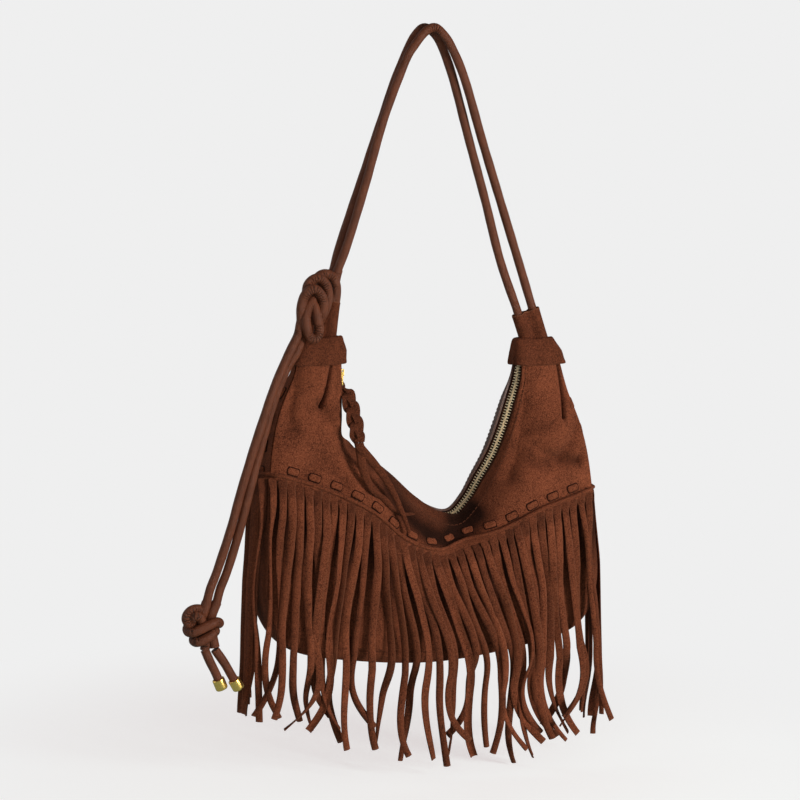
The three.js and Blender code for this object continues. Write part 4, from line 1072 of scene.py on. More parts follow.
def cord_loft(path, radius):
    """A cord along a path, its radius wavering by a few parts in a hundred, and for each point how
    much the bend squeezes it: radius times curvature, more on its inner side."""
    run = runs(path)
    waver = radius * (1 + 0.03 * np.sin(run * 190) * np.sin(run * 71 + 1))
    ring = tube(path, waver, 20)
    turn = np.gradient(tangents(path), axis=0) / np.gradient(run)[:, None]
    inward = ((ring - path[:, None]) * turn[:, None]).sum(-1)
    return ring, np.clip(0.55 * radius * np.linalg.norm(turn, axis=1)[:, None] + 0.45 * inward, 0, 1)


def rounded_ends(ring, path):
    """A loft with two smaller rings added at each end, so that its ends are rounded over."""
    before = [path[0] + (ring[0] - path[0]) * share for share in (0.35, 0.8)]
    after = [path[-1] + (ring[-1] - path[-1]) * share for share in (0.8, 0.35)]
    return np.concatenate([before, ring, after])


def make_cord(name, routes, replaces, spacing=CORD_SPACING, fuller=1.0, runs_on=(0.0, 0.0)):
    """One or more cords joined in a piece, and the paths that they follow. runs_on is how much
    further than its points a cord's body runs straight on at its two ends, into a knot."""
    bag = bpy.context.scene.fringed_bag
    lofts, bends, paths = [], [], []
    for points in routes:
        path = spaced(points, spacing)
        ways = tangents(path)
        if runs_on[0]:
            path = np.concatenate([path[:1] - ways[:1] * runs_on[0] * [[1.0], [0.5]], path])
        if runs_on[1]:
            path = np.concatenate([path, path[-1:] + ways[-1:] * runs_on[1] * [[0.5], [1.0]]])
        ring, bend = cord_loft(path, bag.cord_diameter / 2 * fuller)
        lofts.append(rounded_ends(ring, path))
        bends.append(np.pad(bend, ((2, 2), (0, 0)), mode="edge"))
        paths.append(path)
    leather = named("Cord leather", cord_material, tuple(bag.cord))
    marks = {"bend": bends}
    return make_piece(name, lofts, leather, "cord_leather", replaces=replaces, marks=marks, sharp=70), paths


def lathe(name, foot, axis, profile, material, slot, replaces):
    """A turned cup: the profile's radius against its height along an axis."""
    side = unit(np.cross(axis, (0.2, 1.0, 0.1)))
    up = np.cross(axis, side)
    r, h = profile.T[:, None, :, None]
    angle = np.linspace(0, 2 * math.pi, 48, endpoint=False)[:, None, None]
    points = foot + r * (side * np.cos(angle) + up * np.sin(angle)) + h * axis
    return make_piece(name, [points], material, slot, replaces=replaces, looped=True, sharp=40)


class BAG_OT_cords(bpy.types.Operator):
    """Make the doubled strap, its knots and the two hanging tails with their metal caps"""

    bl_idname = "bag.cords"
    bl_label = "Make the Cords"

    def execute(self, context):
        make_cord("knot_above", UPPER_KNOT, ("upper_knot",), KNOT_SPACING, KNOT_FULLER)
        lower, _ = make_cord("knot_below", LOWER_KNOT, ("lower_knot",), KNOT_SPACING, KNOT_FULLER)
        for name, points in (("outer", STRAP_OUTER), ("inner", STRAP_INNER)):
            node = (f"strap_cord_{name}",)
            cord, (path,) = make_cord(f"strap_{name}", (points,), node, runs_on=(0.0, STRAP_RUNS_ON))
        for name, points, ends in (("outer", TAIL_OUTER, END_OUTER), ("inner", TAIL_INNER, END_INNER)):
            centre = ends[-1]
            down = unit(centre - ends[-2])
            route = np.vstack([ends[:-1], centre + down * (CAP_LENGTH / 2 - CAP_FLOOR)])
            end, _ = make_cord(f"end_{name}", (route,), (f"tail_end_{name}",), END_SPACING)
            foot = centre + down * CAP_LENGTH / 2
            node = (f"cord_cap_{name}",)
            cup = lathe(f"cap_{name}", foot, -down, CAP_PROFILE, gilt(), "gold_metal", node)
            node = (f"tail_cord_{name}",)
            both = (TAIL_RUNS_ON, TAIL_RUNS_ON)
            cord, (path,) = make_cord(f"tail_{name}", (points,), node, runs_on=both)
        return {"FINISHED"}


# ---------------------------------------------------------------- body

# A groove beside the outer edge, where the hem is turned over: how far in, its width, its depth and
# how dark it is painted, as shade in the groove.
HEM_IN, HEM_WIDTH, HEM_DEPTH, HEM_SHADE = 0.0105, 0.0011, 0.0011, 0.45
# The front is painted in shade behind the fringe, most of all where the strands start.
BEHIND_FRINGE = 0.006
FRINGE_SHADE = 0.9


class BAG_OT_body(bpy.types.Operator):
    """Make the suede front, the smooth back and the gusset between them"""

    bl_idname = "bag.body"
    bl_label = "Make the Body"

    def execute(self, context):
        s = denser_ears(340)
        grid, out, crease = front_grid(s, face_rows(1, s, 22, 76))
        edge = through(EDGE_LINE, s)[:, None]
        from_edge = np.linalg.norm((grid - edge)[..., ::2], axis=-1)
        lower = (ease((s - 0.24) / 0.05) * ease((0.78 - s) / 0.05))[:, None]
        hem = bell(from_edge - HEM_IN, HEM_WIDTH) * lower
        grid = grid - out * (HEM_DEPTH * hem)[..., None]
        below = np.interp(grid[..., 0], SEAM[:, 0], SEAM[:, 2]) - BEHIND_FRINGE - grid[..., 2]
        covered = ease(below / 0.005) * (1 - 0.8 * ease((below - 0.03) / 0.06))
        # The crease mark is painted shade: in the folds, in the hem's groove and behind the fringe.
        crease = np.maximum(np.maximum(crease, HEM_SHADE * hem), FRINGE_SHADE * covered)
        marks = {"crease": [np.concatenate([crease, np.zeros_like(crease)], 1)]}
        rows = shell(grid, out, SUEDE_THICK)
        front = suede("Front suede")
        make_piece("suede_front", [rows], front, "suede", replaces=("front_panel",), marks=marks)

        s = denser_ears(240)
        t = face_rows(-1, s, 16, 48)
        grid = face_point(-1, s[:, None], t)
        out = turned_to(grid_normals(grid), -FRONT)
        grid = grid + out * (rumple(-grid[..., 0], grid[..., 2] + 0.1) * loose(t))[..., None]
        rows = shell(grid, out, SMOOTH_THICK)
        smooth = named("Smooth leather", leather_material, tuple(context.scene.fringed_bag.smooth))
        make_piece("leather_back", [rows], smooth, "smooth_leather", replaces=("back_panel",))

        s, v = np.linspace(0, 1, 260), np.linspace(0, 1, 13)
        grid = gusset_point(s[:, None], v[None, :])
        out = turned_to(grid_normals(grid), (grid - RIGHT * MIDDLE_X) * RIGHT)
        rows = shell(grid, out, SMOOTH_THICK)
        # The gusset's suede is darker than the front's, as painted shade.
        make_piece("side_gusset", [rows], suede("Side suede"), "smooth_leather", replaces=("gusset",))
        return {"FINISHED"}


# ---------------------------------------------------------------- collars and sleeves

# A collar's rows from inside its foot, round the outside and in at the top: the height as a share,
# and how far the row is inset.
COLLAR_HEIGHTS = np.array([
    0.04, 0.0, 0.02, 0.08, 0.2, 0.34, 0.48, 0.62, 0.76, 0.88, 0.95, 0.985, 1.0, 0.99, 0.9, 0.6, 0.3,
    0.1,
])
COLLAR_INSET = mm(2.6, 1.4, 0.4, 0, 0, 0, 0, 0, 0, 0, 0.2, 0.7, 1.4, 2.2, 3, 3.1, 3.1, 3)
# Its half width, its half depth and how far it has moved to the ear's top, at four of those heights.
COLLAR_AT = (0, 0.45, 0.94, 1)
COLLAR_HALF_WIDTH = (0.0263, 0.0239, 0.0188, 0.0182)
COLLAR_HALF_DEPTH = (0.0136, 0.0130, 0.0096, 0.0092)
COLLAR_LEAN = (0, 0.45, 1, 1)
COLLAR_INSIDE = 0.002
# A sleeve holds two cords, each half this far from its middle.
CORDS_APART = 0.015
SLEEVE_HALF = 0.0061
SLEEVE_WAIST = 0.42
SLEEVE_CORNERS = 72


def collar_loft(ear):
    """A band round an ear: its half width and depth shrink from the foot to the top, its edges roll
    over, its section is a rounded box (fifth power), and one end of the band laps over the other."""
    share, inset = COLLAR_HEIGHTS, COLLAR_INSET
    width = np.interp(share, COLLAR_AT, COLLAR_HALF_WIDTH) - inset
    depth = np.interp(share, COLLAR_AT, COLLAR_HALF_DEPTH) - inset
    x = ear["x"] + (ear["top_x"] - ear["x"]) * np.interp(share, COLLAR_AT, COLLAR_LEAN)
    z = ear["neck_z"] - COLLAR_BELOW_NECK + COLLAR_HEIGHT * share
    angle = np.linspace(0, 2 * math.pi, 120, endpoint=False)[:, None]
    c, n = np.cos(angle), np.sin(angle)
    square = 1 / (np.abs(c) ** 5 + np.abs(n) ** 5) ** 0.2
    lap = ((angle - ear["lap"]) % (2 * math.pi)) / 1.3
    over = 0.0012 * (1 - ease(lap)) + 0.0003 * np.sin(5 * angle + 9 * share)
    pinch = 0.0007 * np.sin(9 * angle + 2) * (1 - share)
    grow = (over + pinch) * (inset[None] < COLLAR_INSIDE)
    y = (depth + grow) * n * square
    return np.stack([x + (width + grow) * c * square, y, z - 0.0005 * np.sin(3 * angle)], -1)


def sleeve_outline(inset):
    """Half of it for each cord: a half circle at the end and a waist that dips between the cords."""
    r, middle = SLEEVE_HALF - inset, CORDS_APART / 2
    angle = np.linspace(0, 2 * math.pi, SLEEVE_CORNERS, endpoint=False)
    x = (middle + r) * np.cos(angle)
    y_end = np.sqrt(np.maximum(r * r - (np.abs(x) - middle) ** 2, 0))
    y_waist = r * (1 - SLEEVE_WAIST * np.cos(math.pi * x / CORDS_APART) ** 2)
    return x, np.where(np.abs(x) > middle, y_end, y_waist) * np.sign(np.sin(angle) + 1e-9)


def sleeve_place(ear):
    """The middle of a sleeve's top, the way down it and the way across it."""
    angle = math.radians(ear["lean"])
    down = np.array([-math.sin(angle), 0, -math.cos(angle)])
    across = np.array([math.cos(angle), 0, -math.sin(angle)])
    collar_top = ear["neck_z"] - COLLAR_BELOW_NECK + COLLAR_HEIGHT
    top = np.array([ear["top_x"], 0, collar_top]) + down * (ear["top_z"] - collar_top) / down[2]
    return top, down, across


def sleeve_loft(ear):
    """A folded piece of suede down round both cords, and where its raw edge shows: its outline,
    carried down the lean of the sleeve, with a rolled edge at the top and a little way inside."""
    top, down, across = sleeve_place(ear)
    outside = np.linspace(ear["sleeve"], 0.0012, 22)
    drops = np.concatenate([outside, mm(0.4, 0, 0.3, 2, 8, 14)])
    insets = np.concatenate([np.zeros(len(outside)), mm(0.2, 0.7, 1.2, 1.5, 1.5, 1.5)])
    rings = []
    for drop, inset in zip(drops, insets):
        x, y = sleeve_outline(inset)
        flare = 1 + 0.03 * math.exp(-drop / 0.004) * (inset < 0.001)
        slack = 1 + 0.018 * np.sin(drop * 420 + 3 * np.sign(x)) * (inset < 0.001)
        ruffle = 0.0004 * np.sin(x * 700) * math.exp(-drop / 0.003)
        sideways, forward = (x * flare)[:, None], (y * flare * slack)[:, None]
        rings.append(top + across * sideways - FRONT * forward + down * (drop + ruffle)[:, None])
    cut = 0.8 * ((insets > 0.0001) & (insets < 0.0014))
    return np.stack(rings, 1), np.tile(cut, (SLEEVE_CORNERS, 1))


class BAG_OT_ears(bpy.types.Operator):
    """Make the two collars and the two sleeves that the cords pass through"""

    bl_idname = "bag.ears"
    bl_label = "Make the Ears"

    def execute(self, context):
        leather = suede("Ear suede")
        for side, ear in EARS.items():
            finish = {"looped": True, "sharp": 60, "replaces": (f"collar_{side}",)}
            make_piece(f"band_{side}", [collar_loft(ear)], leather, "suede", **finish)
            loft, cut = sleeve_loft(ear)
            finish |= {"replaces": (f"sleeve_{side}",), "marks": {"cut": [cut]}}
            make_piece(f"tube_{side}", [loft], leather, "suede", **finish)
        return {"FINISHED"}


# ---------------------------------------------------------------- zip

# How far the tape starts from the zip's middle: beside the slider's straight run, and elsewhere.
TAPE_AT_SLIDER, TAPE_AT_TEETH = 0.00489, 0.0038
SLIDER_RUN_FOOT = -0.349
TAPE_THICK = 0.0007
TAPE_UNDER_PANEL = 0.0012
TAPE_BELOW_PANEL = 0.00135
TEETH_FROM_ENDS = 0.0072
# A tooth from its head to its foot: the place across the chain, and half its width and height there.
TOOTH_REACH = mm(-1.0, -0.8, 0.0, 0.8, 2.6, 3.3)
TOOTH_HALF = mm(0.36, 0.56, 0.60, 0.46, 0.56, 0.44)
TOOTH_TALL = mm(0.90, 1.35, 1.42, 1.20, 1.38, 1.05)


def tape_rows(side, s):
    """A zip tape: beside the teeth, half way, under the panel's edge, and a little way in under it."""
    at, _, across, _ = zip_frame(s)
    by_slider = (s < 0.5) & (at[..., 2] > SLIDER_RUN_FOOT)
    inner = at + across * side * np.where(by_slider, TAPE_AT_SLIDER, TAPE_AT_TEETH)[..., None]
    below = (SUEDE_THICK if side > 0 else SMOOTH_THICK) / 2 + TAPE_BELOW_PANEL
    edge, under = (p - way * below for p, way in (beside_zip(side, s, g) for g in (0, TAPE_UNDER_PANEL)))
    return np.stack([inner, inner + (edge - inner) * 0.5, edge, under], 1)


def teeth_lofts(side, pitch):
    """Separate teeth along one side of the chain, half a pitch out of step with the other side. A
    tooth is a rounded bar across the chain, with a head that is thicker than its neck."""
    dense = np.linspace(0, 1, 1600)
    run = runs(through(ZIP_LINE, dense))
    first = TEETH_FROM_ENDS + (pitch / 2 if side < 0 else 0)
    arcs = np.arange(first, run[-1] - TEETH_FROM_ENDS, pitch)
    at, along, across, out = (v[:, None, None] for v in zip_frame(np.interp(arcs, run, dense)))
    corner = np.linspace(0, 2 * math.pi, 8, endpoint=False) + math.pi / 8
    wide = (TOOTH_HALF[:, None] * np.cos(corner))[..., None]
    high = (TOOTH_TALL[:, None] * np.sin(corner))[..., None]
    return list(at + across * side * TOOTH_REACH[:, None, None] + along * wide + out * high)


class BAG_OT_zip(bpy.types.Operator):
    """Make the zip's tapes and teeth, and finish its metal parts"""

    bl_idname = "bag.zip"
    bl_label = "Make the Zip"

    def execute(self, context):
        bag = context.scene.fringed_bag
        cloth = named("Zip tape", cloth_material, tuple(bag.tape))
        brass = named("Zip brass", metal_material, tuple(bag.brass), 0.42, 0.45)
        s = np.linspace(0, 1, 300)
        for side, name in ((1, "front"), (-1, "back")):
            rows = tape_rows(side, s)
            out = turned_each(grid_normals(rows), zip_frame(s)[3][:, None])
            tape = shell(rows, out, TAPE_THICK)
            make_piece(f"tape_{name}", [tape], cloth, "tape_cloth", replaces=(f"zip_tape_{name}",))
            teeth = teeth_lofts(side, bag.tooth_pitch)
            node = (f"zip_teeth_{name}",)
            make_piece(f"teeth_{name}", teeth, brass, "brass", replaces=node, sharp=35)
        metals = {"zip_slider": gilt(), "zip_pull_tab": gilt(), "zip_top_stop": brass, "zip_end_stop": brass}
        for node, metal in metals.items():
            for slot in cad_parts[node].material_slots:
                slot.material = metal
        return {"FINISHED"}


# ---------------------------------------------------------------- laces

LACE_THICK = 0.0011
LACE_BAR = 0.0104
LACE_CUP = 0.0002
LACE_LIFT = 0.0003
LACE_ARCH = 0.0005
SLOT_EDGE = 0.0009
SLOT_THICK = 0.0005
SLOT_LIFT = 0.0001
LACE_ABOVE_SEAM = 0.007
SIDE_LACE_BARS = 4
SIDE_LACE_ACROSS = 0.3
# Where each side's lace starts and ends round the bag.
SIDE_LACES = (("left", 0.075, 0.245), ("right", 0.79, 0.94))


def lace_bars(points, ways, bars, width, proud):
    """Bars of a lace along a line on a panel, and the slots that they go through, made as dark
    sheets of painted shadow. A bar lies nearly flush, its height a flat-topped curve, (1 - |u|^6),
    and its outline a rounded box. Its slots are seen as a thin dark outline all round."""
    run = runs(points)
    u = np.linspace(-1, 1, 21)
    boxed = 1 - 0.55 * np.abs(u) ** 14
    arch = LACE_ARCH * (1 - np.abs(u) ** 6)
    lofts, slots = [], []
    for centre in (np.arange(bars) + 0.5) * run[-1] / bars:
        for grow, lift, thick, made in (
            (0.0, LACE_LIFT + arch, LACE_THICK, lofts),
            (SLOT_EDGE, np.full_like(arch, SLOT_LIFT), SLOT_THICK, slots),
        ):
            arcs = centre + u * (LACE_BAR / 2 + grow)
            at, way = at_runs(arcs, run, points), unit(at_runs(arcs, run, ways))
            across = np.cross(way, tangents(at))
            path = at + way * (proud + lift)[:, None]
            made.append(ribbon(path, across, (width + 2 * grow) * boxed, thick, LACE_CUP, 7))
    return lofts, slots


class BAG_OT_laces(bpy.types.Operator):
    """Make the laces woven across the front and down the two sides"""

    bl_idname = "bag.laces"
    bl_label = "Make the Laces"

    def execute(self, context):
        bag = context.scene.fringed_bag
        # The slots are thin dark sheets under the bars, painted shadow of the holes.
        lace, dark = suede("Lace suede"), suede("Slit shadow")
        seam = spaced(SEAM, 0.002)
        seam = seam[int(len(seam) * 0.02) : int(len(seam) * 0.985)]
        at, way = on_front(seam[:, 0], seam[:, 2] + LACE_ABOVE_SEAM)
        bars, slots = lace_bars(at, way, bag.lace_bars, bag.lace_width, SUEDE_THICK / 2)
        make_piece("lace_front", bars, lace, "suede", replaces=("front_lace",), sharp=75)
        make_piece("slits_front", slots, dark, "suede")
        side_slots = []
        for name, first, last in SIDE_LACES:
            s = np.linspace(first, last, 60)
            at, way = gusset_point(s, SIDE_LACE_ACROSS), gusset_way(s, SIDE_LACE_ACROSS, 0.1)
            bars, slots = lace_bars(at, way, SIDE_LACE_BARS, bag.lace_width, SMOOTH_THICK / 2)
            make_piece(f"lace_{name}", bars, lace, "suede", replaces=(f"side_lace_{name}",), sharp=75)
            side_slots += slots
        make_piece("slits_side", side_slots, dark, "suede")
        return {"FINISHED"}


# ---------------------------------------------------------------- fringe

SEED = 11
HEADER_HEIGHT = 0.0044
HEADER_DROPS = (-0.0004, 0.0015, 0.0032, 0.0050)
FRINGE_LIFT = 0.0027
WELT_DROP, WELT_RISE, WELT_HALF = 0.0002, 0.0009, 0.00175
STRAND_TOP = HEADER_HEIGHT * 0.6
STRAND_ACROSS = 5
# No strand hangs further forward than this, or starts nearer the body's edge than that.
FOREMOST_Y = -0.0525
FROM_BODY_EDGE = 0.006
# How far out the strands hang, and how light they are, over and over along the row: the further
# out, the lighter, as painted shade on the strands set back.
LAYERS = (0.0, 0.0026, 0.0010, 0.0036)
LAYER_SHADES = (-0.16, 0.06, -0.08, 0.10)
# How far strands have drifted to the right half way down and at their tips, by where along the
# front they start, and how low the tips hang, by where they are. All in millimetres.
STARTS = mm(
    -158, -140, -118, -105, -90, -77, -66, -58, -45, -29, -14, 9, 24, 40, 53, 72, 88, 104, 119, 135,
    155,
)
DRIFT_HALF = mm(
    -10, -9, -8, -12, -19, -22, -14, -4, 14, 25, 30, 32, 33, 36, 29, 17, 12, 10, 8, 7, 6,
)
DRIFT_TIP = DRIFT_HALF * np.array([
    1.2, 1.1, 1.2, 1.1, 1.0, 1.0, 1.0, 1.0, 1.0, 1.0, 1.0, 1.0, 1.05, 1.1, 1.1, 1.1, 1.2, 1.5, 1.8,
    2.2, 2.8,
])
TIP_AT = mm(-190, -150, -110, -60, -15, 30, 75, 110, 150, 185)
TIP_HEIGHT = mm(-606, -628, -645, -657, -666, -672, -679, -672, -656, -650)
# On each side: how many strands, where the first is, how far apart they are in pitches, the height
# of their tips, how far they lean out, and the way that their width lies.
SIDE_STRANDS = {
    -1: (5, -0.0175, 0.85, -0.612, 0.008, np.array([0.5, -0.87, 0])),
    1: (4, -0.0135, 1, -0.642, 0.004, np.array([0, 1.0, 0])),
}
SIDE_LAYERS = (0.0, 0.002, 0.0007, 0.0026, 0.001)


def header_rows(drops, lift):
    """The uncut top of the fringe strip, across the front and round to both sides, as rows at set
    drops below the sewn line."""
    seam = spaced(SEAM, 0.0025)
    y = np.linspace(0.014, -0.017, 14)
    rows = []
    for drop in drops:
        point, way = on_front(seam[:, 0], seam[:, 2] - drop)
        parts = [point + way * lift]
        for side, end in ((-1, 0), (1, -1)):
            point, way = on_side(side, y, np.full_like(y, seam[end, 2] - drop))
            parts.append(point + way * (lift + 0.0004))
        rows.append(evenly(np.concatenate([parts[1], parts[0], parts[2][::-1]]), 260))
    return np.stack(rows, 1)


def strand(start_x, start_z, bag, chance, layer):
    """One strand of the front: it lies down the bag to the belly, hangs from there, drifts sideways
    by the tables above, twists slowly and curls to one side in its last third."""
    share = np.linspace(0, 1, 56)
    half = np.interp(start_x, STARTS, DRIFT_HALF) + chance.normal(0, 0.0026)
    full = np.interp(start_x, STARTS, DRIFT_TIP) + chance.normal(0, 0.0040)
    drifts = (0, 0.12 * half, 0.55 * half, half, (half + full) / 2, full)
    drift = np.interp(share, (0, 0.12, 0.3, 0.5, 0.75, 1), drifts)
    soft = np.convolve(np.pad(drift, 5, mode="edge"), np.ones(11) / 11, "valid")
    drift = np.where(share < 0.06, drift, soft)
    curl = np.clip((share - 0.62) / 0.38, 0, 1)
    hook = chance.choice((-1, 1), p=(0.36, 0.64)) * chance.uniform(0.004, 0.024)
    hook *= 1 if abs(start_x) < 0.14 else 0.6
    drift = drift + hook * (curl**2.1 - 0.22 * np.sin(curl * math.pi))
    x = start_x + drift + 0.0016 * np.sin(share * 9 + chance.uniform(0, 6)) * ease(share / 0.3)
    tip_z = np.interp(start_x + full, TIP_AT, TIP_HEIGHT) + chance.normal(0, 0.0060) + abs(hook) * 0.45
    top = start_z - STRAND_TOP
    z = top + (tip_z - top) * (share - 0.05 * curl**2 * abs(hook) / 0.02)
    most = BODY_HALF_WIDTH - FROM_BODY_EDGE
    rest = np.maximum(z, BOTTOM_Z + 0.010)
    point, way = on_front(np.clip(x, MIDDLE_X - most, MIDDLE_X + most), rest)
    out = np.minimum.accumulate(point[:, 1] - FRINGE_LIFT * np.abs(way[:, 1]) - 0.0004)
    float_off = ease(share / 0.18)
    wave = 0.0026 * np.sin(share * 7 + chance.uniform(0, 6)) ** 2
    y = out - (layer + wave) * float_off
    below = ease((BOTTOM_Z + 0.012 - z) / 0.045)
    y = y + below * chance.uniform(-0.004, 0.020) + chance.uniform(-0.004, 0.010) * curl**2
    past_side = np.maximum(np.abs(x - MIDDLE_X) - (BODY_HALF_WIDTH - 0.004), 0)
    y = np.maximum(y + past_side * 0.5, FOREMOST_Y)
    turn = chance.normal(0, 0.55) * np.sin(share * chance.uniform(2.5, 6)) * float_off
    turn = np.clip(turn + chance.normal(0, 0.8) * curl**1.5, -1.25, 1.25)
    return finish_strand(np.stack([x, y, z], -1), turn, RIGHT, bag, chance)


def side_strand(side, k, start_z, bag, chance):
    """One strand of a side: it hangs down the gusset, leans out and curls in its last third."""
    _, first, apart, tip, out, level = SIDE_STRANDS[side]
    start_y = first + k * bag.strand_pitch * apart
    share = np.linspace(0, 1, 46)
    curl = ease((share - 0.7) / 0.3) ** 1.5
    z = start_z + (tip + chance.normal(0, 0.008) - start_z) * share
    y = start_y + chance.normal(0, 0.003) * share + chance.normal(0, 0.004) * curl
    point, _ = on_side(side, np.full_like(z, start_y), np.maximum(z, BOTTOM_Z + 0.06))
    reach = np.maximum.accumulate(side * point[:, 0]) + FRINGE_LIFT + 0.0005
    lean = out * share + chance.uniform(-0.012, 0.008) * curl
    layer = SIDE_LAYERS[k] * ease(share / 0.18)
    turn = chance.normal(0, 0.25) * np.sin(share * 4) + chance.normal(0, 0.7) * curl
    path = np.stack([side * (reach + lean + layer), y, z], -1)
    return finish_strand(path, turn, level, bag, chance)


def finish_strand(path, turn, level, bag, chance):
    """A strand's cupped cross-section carried down its path and turned about it, a little narrower
    where it leaves the header and cut square at the tip."""
    along = tangents(path)
    flat = unit(level - along * (along @ level)[:, None])
    up = np.cross(along, flat)
    over = flat * np.cos(turn)[:, None] + up * np.sin(turn)[:, None]
    share = np.linspace(0, 1, len(path))
    wide = bag.strand_width * (1 + chance.normal(0, 0.05))
    wide = wide * (1 + 0.045 * np.sin(share * 17 + chance.uniform(0, 6)))
    wide = wide * (0.93 + 0.07 * ease(share / 0.3)) * (1 - 0.14 * share)
    wide = np.where(share < 0.03, bag.strand_pitch, wide)
    cup = chance.normal(0.0004, 0.0006) * ease(share / 0.2) * (1 + 1.2 * share)
    return ribbon(path, over, wide, bag.strand_thick, cup, STRAND_ACROSS)


def strand_marks(rings):
    """Where a strand is raw and where it is dark. Its ring has five points on its outside and five
    on its inside. One long edge and the tip are raw. The edges, the top and the inside are in the
    shade."""
    cut, dark = np.zeros((rings, 2 * STRAND_ACROSS)), np.zeros((rings, 2 * STRAND_ACROSS))
    cut[:, [4, 5]] = 0.28
    cut[-1] = 0.5
    dark[:, [0, 5, 9]] = 0.30
    dark[:4] = 0.35
    dark[:, 6:9] = 0.5
    return cut, dark


class BAG_OT_fringe(bpy.types.Operator):
    """Make the rolled edge, the header and the cut strands of the fringe"""

    bl_idname = "bag.fringe"
    bl_label = "Make the Fringe"

    def execute(self, context):
        bag = context.scene.fringed_bag
        chance = np.random.default_rng(SEED)

        rows = header_rows(HEADER_DROPS, FRINGE_LIFT)
        out = turned_each(grid_normals(rows), rows - np.array([MIDDLE_X, 0.05, -0.45]))
        header = shell(rows, out, bag.strand_thick)
        ridge = header_rows([WELT_DROP], FRINGE_LIFT + WELT_RISE)[:, 0]
        k = np.arange(len(ridge))
        welt = tube(ridge, WELT_HALF * (1 + 0.08 * np.sin(k * 0.9) * np.sin(k * 0.37)), 14)
        whole = [header, rounded_ends(welt, ridge)]

        seam = spaced(SEAM, 0.001)
        run = runs(seam)
        pitch = bag.strand_pitch
        strands = []
        for k, arc in enumerate(np.arange(pitch * -1.35, run[-1] + pitch * 0.5, pitch)):
            x, _, z = at_runs(arc, run, seam)
            x += min(arc, 0) + max(arc - run[-1], 0)
            strands.append(strand(x, z, bag, chance, LAYERS[k % len(LAYERS)]))
        for side, end in ((-1, 0), (1, -1)):
            for k in range(SIDE_STRANDS[side][0]):
                strands.append(side_strand(side, k, seam[end, 2] - STRAND_TOP, bag, chance))

        none = [np.zeros(grid.shape[:2]) for grid in whole]
        marks = {"tone_and_shade": list(none), "cut": list(none), "crease": list(none)}
        for k, grid in enumerate(strands, start=len(whole)):
            cut, dark = strand_marks(len(grid))
            # Each strand's lightness: a random part, and painted shade from its layer, darker the further
            # back it hangs.
            tone_and_shade = chance.normal(0, 0.10) + LAYER_SHADES[k % len(LAYER_SHADES)]
            marks["tone_and_shade"].append(np.full(cut.shape, tone_and_shade))
            marks["cut"].append(cut)
            marks["crease"].append(dark)
        finish = {"replaces": ("fringe_strip",), "marks": marks, "sharp": 45}
        make_piece("fringe", whole + strands, suede("Fringe suede"), "suede", **finish)
        return {"FINISHED"}


# ---------------------------------------------------------------- stitches

THREAD_HALF = 0.00038
STITCH_SHARE = 0.74
STITCH_RISE, STITCH_DIP = 0.00022, 0.0006
STITCH_FROM_ZIP = 0.0030
STITCH_ABOVE_SEAM = 0.0022


def stitch_lofts(points, ways, pitch, long):
    """A row of stitches: short rounded bars, end to end along a line, their ends pulled down."""
    run = runs(points)
    u = np.linspace(-1, 1, 5)
    lofts = []
    for centre in np.arange(pitch, run[-1] - pitch / 2, pitch):
        arcs = centre + u * long / 2
        way = unit(at_runs(arcs, run, ways))
        path = at_runs(arcs, run, points) + way * (STITCH_RISE - STITCH_DIP * u**4)[:, None]
        lofts.append(tube(path, THREAD_HALF * (1 - 0.3 * u**4), 6, first=way[2]))
    return lofts


class BAG_OT_stitches(bpy.types.Operator):
    """Sew the rows of stitches beside the zip, above the fringe and down the sleeves"""

    bl_idname = "bag.stitches"
    bl_label = "Sew the Stitches"

    def execute(self, context):
        bag = context.scene.fringed_bag
        pitch, long = bag.stitch_pitch, bag.stitch_pitch * STITCH_SHARE
        s = np.linspace(0.20, 0.97, 500)
        lofts = []
        for side, thick in ((1, SUEDE_THICK), (-1, SMOOTH_THICK)):
            point, way = beside_zip(side, s, STITCH_FROM_ZIP)
            lofts += stitch_lofts(point + way * thick / 2, way, pitch, long)
        seam = spaced(SEAM, 0.001)
        point, way = on_front(seam[:, 0], seam[:, 2] + STITCH_ABOVE_SEAM)
        lofts += stitch_lofts(point + way * SUEDE_THICK / 2, way, pitch, long)
        for ear in EARS.values():
            top, down, _ = sleeve_place(ear)
            drop = np.linspace(0.0016, ear["sleeve"] * 0.55, 120)
            line = top + down * drop[:, None] + FRONT * SLEEVE_HALF * (1 - SLEEVE_WAIST)
            lofts += stitch_lofts(line, np.broadcast_to(FRONT, line.shape), pitch * 0.75, long * 0.7)
        thread = named("Waxed thread", thread_material, tuple(bag.thread))
        make_piece("stitches", lofts, thread, "cord_leather", sharp=80)
        return {"FINISHED"}


# ---------------------------------------------------------------- zip pull

# The middle lines of the plait, of the leather ring that holds it, and of its two tails, of
# which the long one ends on the front, at x and z.
PULL = mm(
    (-79.4, -0.5, -319.2), (-77.5, -7.5, -326), (-76.5, -17, -337), (-75.5, -25, -351),
    (-74.2, -30, -366),
)
RING_OF_PULL = mm(
    (-79.6, -1.8, -318.8), (-80.2, 0.4, -316.8), (-79.2, 1.6, -315), (-77.9, 0.6, -316.6),
    (-78.1, -1.6, -319),
)
LONG_TAIL = mm(
    (-74, -29.3, -366.7), (-73.2, -29.6, -371), (-70, -30.2, -392), (-61.5, -31.2, -410),
)
LONG_TAIL_LIES = mm(
    (-51, -421), (-41, -432), (-30, -437), (-19, -438),
)
SHORT_TAIL = mm(
    (-73.9, -30.9, -366.7), (-73.1, -31.4, -371), (-60, -30.5, -386), (-49.5, -30.5, -400),
    (-40.5, -31, -416), (-32, -35, -438), (-29, -38.5, -450),
)
TAIL_ABOVE_FRONT = 0.0032
PULL_THICK = 0.0017
PLAIT_TURNS = 1.25
PLAIT_SWING, PLAIT_DEPTH = 0.0036, 0.0019


